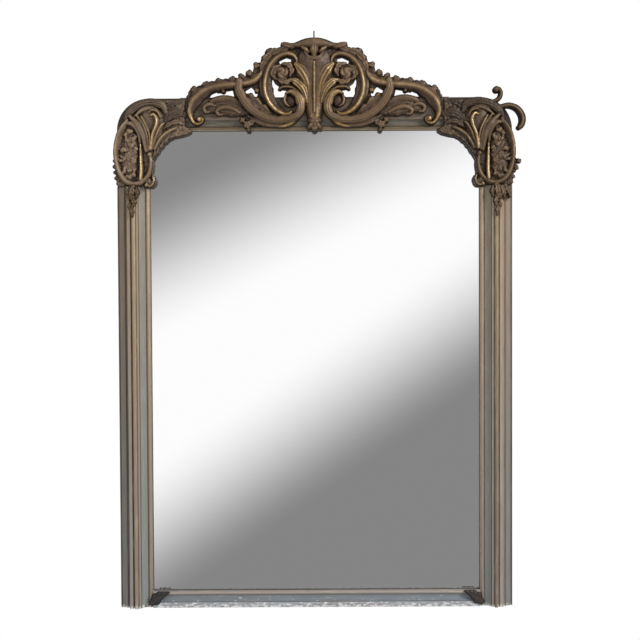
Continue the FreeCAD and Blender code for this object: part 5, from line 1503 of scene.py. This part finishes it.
@dataclass
class Moulding:
    """One length of moulding swept along a stile or a rail, with the dents of long use."""

    name: str
    section: list[Edge]
    run: Run
    start: float
    end: float
    base: float
    hand: float = 1.0
    pitch: float = 6.0
    depth: float = CARCASS
    wear: float = 0.35
    proud: float = 0.05
    crisp: float = 38.0

    def build(self, material: bpy.types.Material) -> bpy.types.Object:
        """Sweep the section and close both ends.

        Args:
            material: Its finish.

        Returns:
            The object.
        """
        rng = np.random.default_rng(sum(map(ord, self.name)))
        stations = np.linspace(self.start, self.end, max(2, int((self.end - self.start) / self.pitch)))
        across = np.array([edge.across for edge in self.section])
        up = np.array([edge.up for edge in self.section])
        rows, count = len(stations), len(self.section)
        # Dents go in by up to about the wear and hardly ever stand proud; the back and both ends stay flat.
        wear = blurred(rng.normal(0, 1, (rows, count)), 2) * self.wear
        wear[:, up <= 0.01] = 0
        wear[[0, -1]] = 0
        side = np.tile(self.base + across, (rows, 1))
        front = -(self.depth + up[None, :] + np.minimum(wear, self.proud))
        way = np.repeat(stations[:, None], count, axis=1)
        if self.run is Run.UP:
            points = np.stack([self.hand * side, front, way], -1)
        else:
            points = np.stack([way, front, side], -1)
        ring = np.arange(count)
        after = np.roll(ring, -1)
        quads = np.stack([ring, after, after + count, ring + count], 1)
        faces = np.concatenate([quads + k * count for k in range(rows - 1)])
        triangles = np.concatenate([faces[:, [0, 1, 2]], faces[:, [0, 2, 3]]])
        cap = self.filled(across, up)
        shell = np.concatenate([triangles, cap[:, ::-1], cap + (rows - 1) * count])
        if (self.run is Run.UP) != (self.hand > 0):
            shell = shell[:, ::-1]
        values = {key: np.tile([getattr(edge, key) for edge in self.section], rows).astype(float)
                  for key in ("tone", "cool", "gilt", "chip")}
        return new_object(self.name, points.reshape(-1, 3), shell, material, values, self.crisp)

    @staticmethod
    def filled(across: np.ndarray, up: np.ndarray) -> np.ndarray:
        """Fill a section's outline with triangles.

        Args:
            across: The outline's places across.
            up: The same upward.

        Returns:
            Corner numbers, three to a row.
        """
        outline = [Vector((float(x), float(y), 0.0)) for x, y in zip(across, up)]
        made = np.array(tessellate_polygon([outline]))
        a, b, c = (np.stack([across[made[:, k]], up[made[:, k]]], 1) for k in range(3))
        area = (b[:, 0] - a[:, 0]) * (c[:, 1] - a[:, 1]) - (b[:, 1] - a[:, 1]) * (c[:, 0] - a[:, 0])
        around = across * np.roll(up, -1) - np.roll(across, -1) * up
        wrong = (area > 0) != (around.sum() > 0)
        made[wrong] = made[wrong][:, ::-1]
        return made


@dataclass
class Mouldings:
    """The painted mouldings, the frieze and the gilt sight slips."""

    stile_top: float = FRAME_TOP - 277.0
    sight_top: float = 1503.0
    bottom: float = 51.0
    slip: float = 15.0
    frieze_reach: float = 420.0
    # Tones painted as light and shade: the right stile lit by the lamp on its side, bead halves lit unevenly.
    left_tones: tuple[float, ...] = (0.25, 0.2, 0.9, 0.95)
    right_tones: tuple[float, ...] = (0.95, 0.6, 0.6, 0.7)
    side_slip_tones: tuple[float, float] = (0.6, 0.85)
    top_slip_tones: tuple[float, float] = (0.0, 0.6)
    bottom_slip_tones: tuple[float, float] = (0.9, 0.8)

    def stile_section(self, quirk: float, groove: float, bead: float, cool: float) -> list[Edge]:
        """Draw the section of a stile's moulding from the outer edge inward.

        Args:
            quirk: Tone of the sunk flat between the cove and the fillet.
            groove: Tone of the sunk flat beside the bead.
            bead: Tone of the gilt bead's outer half.
            cool: Share of cool grey in the cavetto.

        Returns:
            The section's points.
        """
        # Low tones in the quirks and beside the bead are painted shade.
        return [
            Edge(0, 0, 0.0), Edge(0, 5.4, 0.0), Edge(0.7, 6.0, 0.1), Edge(5.4, 6.0, 0.0),
            *bowed((6.2, 6.2), (22.4, 16.8), 0.16, 9, tone=0.4, cool=0.15),
            Edge(22.9, 16.9, 0.35), Edge(23.2, 13.2, quirk), Edge(30.7, 13.0, quirk), Edge(31.1, 26.2, 0.25),
            Edge(31.7, 27.0, 0.55), Edge(36.5, 27.2, 0.85), Edge(41.4, 27.0, 0.85), Edge(42.0, 26.4, 0.5),
            Edge(42.2, 23.1, groove, gilt=0.9), Edge(46.8, 23.0, groove, gilt=0.9),
            Edge(47.0, 29.0, 0.3, gilt=0.9), *beaded(53.0, 30.0, 5.9, bead, bead * 0.6),
            Edge(59.1, 27.2, 0.0, gilt=0.6), Edge(59.9, 26.9, 0.1, gilt=0.6), Edge(60.9, 27.0, 0.8, gilt=0.6),
            Edge(65.4, 27.0, 0.95, gilt=0.5), Edge(66.5, 26.8, 0.4, gilt=0.3),
            Edge(67.0, 26.3, 0.1), Edge(67.1, 21.4, 0.0), Edge(68.3, 20.2, 0.1, cool * 0.3),
            *bowed((69.2, 19.4), (84.6, 8.8), 0.16, 12, tone=0.3, cool=cool),
            Edge(85.2, 8.3, 0.45, 0.5), Edge(86.5, 8.0, 0.4, 0.3), Edge(87.0, 7.4, 0.3), Edge(87.0, 0, 0.1),
        ]

    def slip_section(self, first: float, last: float) -> list[Edge]:
        """Draw the section of a sight slip from the frame inward.

        Args:
            first: Tone of its outer half.
            last: Tone of its inner half.

        Returns:
            The section's points.
        """
        return [Edge(0, 0, 0.1), Edge(0, 5.7, 0.2), Edge(0.3, 6.0, 0.35),
                Edge(2.3, 6.0, first * 0.6, gilt=0.6), *beaded(7.5, 6.2, 4.8, first, last),
                Edge(12.7, 6.0, last * 0.8, gilt=0.6), Edge(14.6, 6.0, last, gilt=0.6),
                Edge(15.0, 5.6, 0.5, gilt=0.4), Edge(15.0, 0, 0.05)]

    def bottom_section(self) -> list[Edge]:
        """Draw the section of the bottom rail's moulding from the shelf upward.

        Returns:
            The section's points.
        """
        foot = self.bottom - self.slip
        return [Edge(0, 0, 0.2), Edge(0, 17.0, 0.6, chip=0.4), Edge(1.0, 18.0, 0.8, 0.15, chip=0.5),
                Edge(8.0, 18.0, 0.85, 0.2, chip=0.42), Edge(15.8, 18.0, 0.9, 0.2, chip=0.5),
                Edge(16.8, 17.2, 0.4, 0.4), Edge(17.1, 16.0, 0.1), Edge(18.8, 15.8, 0.2, 0.3),
                *bowed((19.2, 15.8), (foot - 0.8, 6.6), 0.14, 10, tone=0.6, cool=0.85, chip=0.38),
                Edge(foot, 6.0, 0.1), Edge(foot, 0, 0.1)]

    def frieze_section(self) -> list[Edge]:
        """Draw the section of the top rail's frieze from the sight slip upward.

        Returns:
            The section's points.
        """
        return [Edge(0, 0, 0.1), Edge(0, 6.0, 0.05),
                *bowed((0.4, 6.2), (16.4, 11.8), 0.14, 9, tone=0.1, cool=0.9),
                Edge(17.0, 12.0, 0.1, 0.2), Edge(17.2, 13.8, 0.1), Edge(22.0, 14.0, 0.05, 0.2),
                Edge(30.0, 14.0, 0.0), Edge(86.0, 14.0, 0.0), Edge(87.0, 13.2, 0.0), Edge(87.0, 0, 0.0)]

    def build(self, palette: Palette) -> None:
        """Sweep every length and settle it on the frame.

        Args:
            palette: The finishes.
        """
        paint, paint_level = palette[Finish.PAINT], palette[Finish.PAINT_LEVEL]
        frieze_foot = self.sight_top + self.slip
        slip = self.slip_section(*self.side_slip_tones)
        slip_edge = -HALF_SIGHT - self.slip
        for side, hand, tones in (("left", 1.0, self.left_tones), ("right", -1.0, self.right_tones)):
            stile = self.stile_section(*tones)
            piece = Moulding(f"{side}_stile_paint", stile, Run.UP, 0.0, self.stile_top, -HALF_WIDTH, hand)
            settle(piece.build(paint), "painted_gesso", f"{side}_stile_moulding")
            piece = Moulding(f"{side}_slip_gilding", slip, Run.UP, 0.0, frieze_foot, slip_edge, hand)
            settle(piece.build(paint), "gilt_slip", f"{side}_sight_slip")
        # The top slip is the same section turned over.
        top = [Edge(self.slip - edge.across, edge.up, edge.tone, edge.cool, edge.gilt)
               for edge in self.slip_section(*self.top_slip_tones)[::-1]]
        for name, section, foot, reach, slot, node in (
                ("bottom_rail_paint", self.bottom_section(), 0.0, HALF_SIGHT,
                 "painted_gesso", "bottom_rail_moulding"),
                ("top_frieze_paint", self.frieze_section(), frieze_foot, self.frieze_reach,
                 "painted_gesso", "top_rail_frieze"),
                ("bottom_slip_gilding", self.slip_section(*self.bottom_slip_tones), self.bottom - self.slip,
                 HALF_SIGHT, "gilt_slip", "bottom_sight_slip"),
                ("top_slip_gilding", top, self.sight_top, HALF_SIGHT, "gilt_slip", "top_sight_slip")):
            piece = Moulding(name, section, Run.ALONG, -reach, reach, foot)
            settle(piece.build(paint_level), slot, node)


@dataclass
class Carcass:
    """The CAD nodes that stay in view: pine, glass, boards and ironwork."""

    finishes: dict[str, Finish] = field(default_factory=lambda: {
        "left_stile": Finish.PINE, "right_stile": Finish.PINE, "top_rail": Finish.PINE_LEVEL,
        "bottom_rail": Finish.PINE_LEVEL, "joint_pegs": Finish.PINE, "glazing_blocks": Finish.PINE,
        "crest_spine": Finish.PINE, "left_spandrel": Finish.PINE, "right_spandrel": Finish.PINE,
        "backboards": Finish.BOARD, "mirror_plate": Finish.PLATE, "hanging_plates": Finish.IRON,
        "crest_strap": Finish.IRON, "crest_pin": Finish.PIN,
    })

    def build(self, frame: dict, palette: Palette) -> None:
        """Dress each node with its finish.

        Args:
            frame: The CAD frame.
            palette: The finishes.
        """
        for name, finish in self.finishes.items():
            mesh = frame["nodes"][name].data
            mesh.materials.clear()
            mesh.materials.append(palette[finish])
            LOG.info("%s: dressed", name)


class Fastener(Enum):
    """The two kinds of fastener at the back."""

    NAIL = "flat head on a round shank"
    SCREW = "countersunk head with a slot"


@dataclass
class Hardware:
    """Nails and slotted screws, set by geometry nodes where the CAD has them."""

    nail_head: float = 7.0
    nail_thickness: float = 1.2
    nail_shank: float = 2.5
    nail_length: float = 15.0
    screw_head: float = 9.0
    screw_cone: float = 3.0
    screw_shank: float = 4.5
    screw_length: float = 19.0
    slot_width: float = 1.4
    slot_depth: float = 1.0
    apart: float = 14.0
    head_sides: int = 24
    shank_sides: int = 16
    rows: Sequence[tuple[str, str, Fastener]] = (
        ("set_nails", "backboard_nails", Fastener.NAIL),
        ("set_plate_screws", "hanging_plate_screws", Fastener.SCREW),
        ("set_strap_screws", "crest_strap_screws", Fastener.SCREW),
    )

    def places(self, node: bpy.types.Object) -> np.ndarray:
        """Find where a CAD node's fasteners are.

        Args:
            node: The node that holds them.

        Returns:
            The middle of every fastener's rear face, in millimetres.
        """
        groups: list[list[np.ndarray]] = []
        for vertex in node.data.vertices:
            spot = np.array(node.matrix_world @ vertex.co) / MM
            near = [g for g in groups if math.hypot(spot[0] - g[0][0], spot[2] - g[0][2]) < self.apart]
            if near:
                near[0].append(spot)
            else:
                groups.append([spot])
        boxes = [(np.min(g, axis=0), np.max(g, axis=0)) for g in groups]
        return np.array([((low[0] + high[0]) / 2, high[1], (low[2] + high[2]) / 2) for low, high in boxes])

    def sizes(self, kind: Fastener) -> dict[str, float]:
        """Give the tree's inputs for one kind of fastener.

        Args:
            kind: Nail or screw.

        Returns:
            Sizes in metres, by the input's name.
        """
        if kind is Fastener.NAIL:
            rear, front, head = self.nail_head, self.nail_head, self.nail_thickness
            shank, length, slot = self.nail_shank, self.nail_length, 0.0
        else:
            rear, front, head = self.screw_head, self.screw_shank, self.screw_cone
            shank, length, slot = self.screw_shank, self.screw_length, self.slot_depth
        return {"Rear Radius": rear / 2 * MM, "Front Radius": front / 2 * MM, "Head Depth": head * MM,
                "Shank Radius": shank / 2 * MM, "Shank Length": length * MM,
                "Slot Width": self.slot_width * MM, "Slot Depth": slot * MM}

    def tree(self, kind: Fastener, material: bpy.types.Material) -> bpy.types.NodeTree:
        """Build the node tree that sets one kind of fastener on every point.

        Args:
            kind: Nail or screw.
            material: Its finish.

        Returns:
            The tree, with its sizes as named inputs.
        """
        tree = bpy.data.node_groups.new(f"set_{kind.name.lower()}s", "GeometryNodeTree")
        tree.interface.new_socket("Places", in_out="INPUT", socket_type="NodeSocketGeometry")
        for label in self.sizes(kind):
            tree.interface.new_socket(label, in_out="INPUT", socket_type="NodeSocketFloat")
        tree.interface.new_socket("Seed", in_out="INPUT", socket_type="NodeSocketInt")
        tree.interface.new_socket("Fasteners", in_out="OUTPUT", socket_type="NodeSocketGeometry")
        add = partial(add_node, tree)
        given = add("NodeGroupInput").node.outputs
        cone = {"Vertices": self.head_sides, "Radius Bottom": given["Rear Radius"],
                "Radius Top": given["Front Radius"], "Depth": given["Head Depth"]}
        head = add("GeometryNodeMeshCone", cone, "Mesh")
        if kind is Fastener.SCREW:
            # The slot is cut by a bar that is longer than the head is wide.
            long = add(MATH, (given["Rear Radius"], 3.0), operation="MULTIPLY")
            deep = add(MATH, (given["Slot Depth"], 2.0), operation="MULTIPLY")
            size = add("ShaderNodeCombineXYZ", (long, given["Slot Width"], deep))
            bar = add("GeometryNodeMeshCube", {"Size": size}, "Mesh")
            head = add("GeometryNodeMeshBoolean", {"Mesh 1": head, "Mesh 2": bar}, "Mesh",
                       operation="DIFFERENCE", solver="EXACT")
        rod = {"Vertices": self.shank_sides, "Radius": given["Shank Radius"], "Depth": given["Shank Length"]}
        shank = add("GeometryNodeMeshCylinder", rod, "Mesh")
        half = add(MATH, (given["Shank Length"], 0.5, given["Head Depth"]), operation="MULTIPLY_ADD")
        along = add("ShaderNodeCombineXYZ", {2: half})
        shank = add("GeometryNodeTransform", {"Geometry": shank, "Translation": along})
        whole = add("GeometryNodeJoinGeometry")
        for part in (head, shank):
            tree.links.new(part, whole.node.inputs[0])
        # Each fastener is turned by its own amount about its length.
        spin = add("FunctionNodeRandomValue", {2: 0.0, 3: math.tau, "Seed": given["Seed"]}, 1)
        turn = add("ShaderNodeCombineXYZ", (math.pi / 2, spin))
        spread = add("GeometryNodeInstanceOnPoints", {"Points": given["Places"], "Instance": whole,
                                                      "Rotation": turn})
        real = add("GeometryNodeRealizeInstances", {"Geometry": spread})
        dressed = add("GeometryNodeSetMaterial", {"Geometry": real, "Material": material})
        add("NodeGroupOutput", {"Fasteners": dressed})
        return tree

    def build(self, frame: dict, palette: Palette) -> None:
        """Set every row of fasteners and settle it on the frame.

        Args:
            frame: The CAD frame.
            palette: The finishes.
        """
        trees = {kind: self.tree(kind, palette[Finish.IRON]) for kind in Fastener}
        for seed, (name, node, kind) in enumerate(self.rows):
            mesh = bpy.data.meshes.new(name)
            mesh.from_pydata((self.places(frame["nodes"][node]) * MM).tolist(), [], [])
            piece = bpy.data.objects.new(name, mesh)
            bpy.context.scene.collection.objects.link(piece)
            modifier = piece.modifiers.new("fasteners", "NODES")
            modifier.node_group = trees[kind]
            given = {**self.sizes(kind), "Seed": seed}
            for socket in trees[kind].interface.items_tree:
                if socket.name in given:
                    modifier[socket.identifier] = given[socket.name]
            shown = piece.evaluated_get(bpy.context.evaluated_depsgraph_get())
            piece.data = bpy.data.meshes.new_from_object(shown)
            piece.modifiers.clear()
            settle(piece, "wrought_iron", node)


@dataclass
class Studio:
    """The camera, the lamps and the white surroundings."""

    distance: float = 4.03
    height: float = 1.0334
    aside: float = 0.0145
    pitch: float = 1.8
    roll: float = 0.28
    view: float = 28.31
    sensor: float = 36.0
    aim: tuple[float, float, float] = (0.0, 0.0, 1.1)
    soft_boxes: Sequence[tuple[str, tuple[float, float, float], float, float]] = (
        ("key", (2.8, -2.4, 2.9), 1.4, 105.0),
        ("fill", (-2.6, -3.4, 2.2), 2.0, 20.0),
    )
    white: tuple[float, float, float, float] = (1.0, 1.0, 1.0, 1.0)
    surround: tuple[float, float, float, float] = (0.58, 0.59, 0.6, 1.0)
    room: tuple[float, float, float, float] = (0.238, 0.238, 0.238, 1.0)
    patch_slant: float = 0.6
    patch_drop: float = 0.0166
    patch_taper: float = 0.095
    patch_edge: float = 0.158
    patch_core: float = 0.028

    def camera(self) -> None:
        """Set the camera where the photograph was taken from."""
        data = bpy.data.cameras.new("camera")
        data.sensor_width = self.sensor
        data.lens = self.sensor / 2 / math.tan(math.radians(self.view / 2))
        eye = bpy.data.objects.new("camera", data)
        tilt = Matrix.Rotation(math.radians(90 - self.pitch), 4, "X")
        lean = Matrix.Rotation(math.radians(-self.roll), 4, "Z")
        eye.matrix_world = Matrix.Translation((self.aside, -self.distance, self.height)) @ (tilt @ lean)
        bpy.context.scene.collection.objects.link(eye)
        bpy.context.scene.camera = eye

    def lamps(self) -> None:
        """Hang two soft boxes, the main one high on the right."""
        for name, spot, size, power in self.soft_boxes:
            data = bpy.data.lights.new(name, "AREA")
            data.size = size
            data.energy = power
            lamp = bpy.data.objects.new(name, data)
            lamp.location = spot
            lamp.rotation_mode = "QUATERNION"
            lamp.rotation_quaternion = (Vector(self.aim) - Vector(spot)).to_track_quat("-Z", "Y")
            bpy.context.scene.collection.objects.link(lamp)

    def world(self) -> None:
        """Make white surroundings; the glass sees a grey room with a bright slanting patch."""
        world = bpy.data.worlds.new("studio")
        world.use_nodes = True
        world.node_tree.nodes.clear()
        add = partial(add_node, world.node_tree)
        path = add("ShaderNodeLightPath").node.outputs
        way = add("ShaderNodeTexCoord", output="Generated")
        x, y, z = add("ShaderNodeSeparateXYZ", (way,)).node.outputs
        # The patch: a band across the view behind the camera, slanting and narrower to the right.
        ahead = add(MATH, (y, -1.0), operation="MULTIPLY")
        ahead = add(MATH, (ahead, 0.05), operation="MAXIMUM")
        across = add(MATH, (x, ahead), operation="DIVIDE")
        up = add(MATH, (z, ahead), operation="DIVIDE")
        slant = add(MATH, (across, -self.patch_slant, up), operation="MULTIPLY_ADD")
        off = add(MATH, (slant, self.patch_drop), operation="ADD")
        off = add(MATH, (off,), operation="ABSOLUTE")
        wedge = add(MATH, (across, self.patch_taper, off), operation="MULTIPLY_ADD")
        patch = add(RANGE, (wedge, self.patch_edge, self.patch_core), **SMOOTH)
        room = add(MIX, {0: patch, 6: self.room, 7: self.white}, **BLEND)
        mirrored = add(MATH, (path["Is Glossy Ray"], path["Is Transmission Ray"]), operation="MAXIMUM")
        soft = add(MIX, {0: mirrored, 6: self.surround, 7: room}, **BLEND)
        seen = add(MIX, {0: path["Is Camera Ray"], 6: soft, 7: self.white}, **BLEND)
        light = add("ShaderNodeBackground", {"Color": seen, "Strength": 1.0})
        add("ShaderNodeOutputWorld", {"Surface": light})
        bpy.context.scene.world = world

    def build(self) -> None:
        """Set up the whole studio."""
        self.camera()
        self.lamps()
        self.world()
        bpy.context.scene.view_settings.view_transform = "Standard"


def main() -> None:
    """Build the mirror's looks on its frame."""
    logging.basicConfig(level=logging.INFO, format="%(message)s")
    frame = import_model()
    palette = Palette()
    Carcass().build(frame, palette)
    Mouldings().build(palette)
    coarse = 1.0
    Crest(step=Crest.step * coarse).build(palette)
    Corners(step=Corners.step * coarse).build(palette)
    Drops().build(palette)
    Hardware().build(frame, palette)
    Studio().build()


if __name__ == "__main__":
    main()
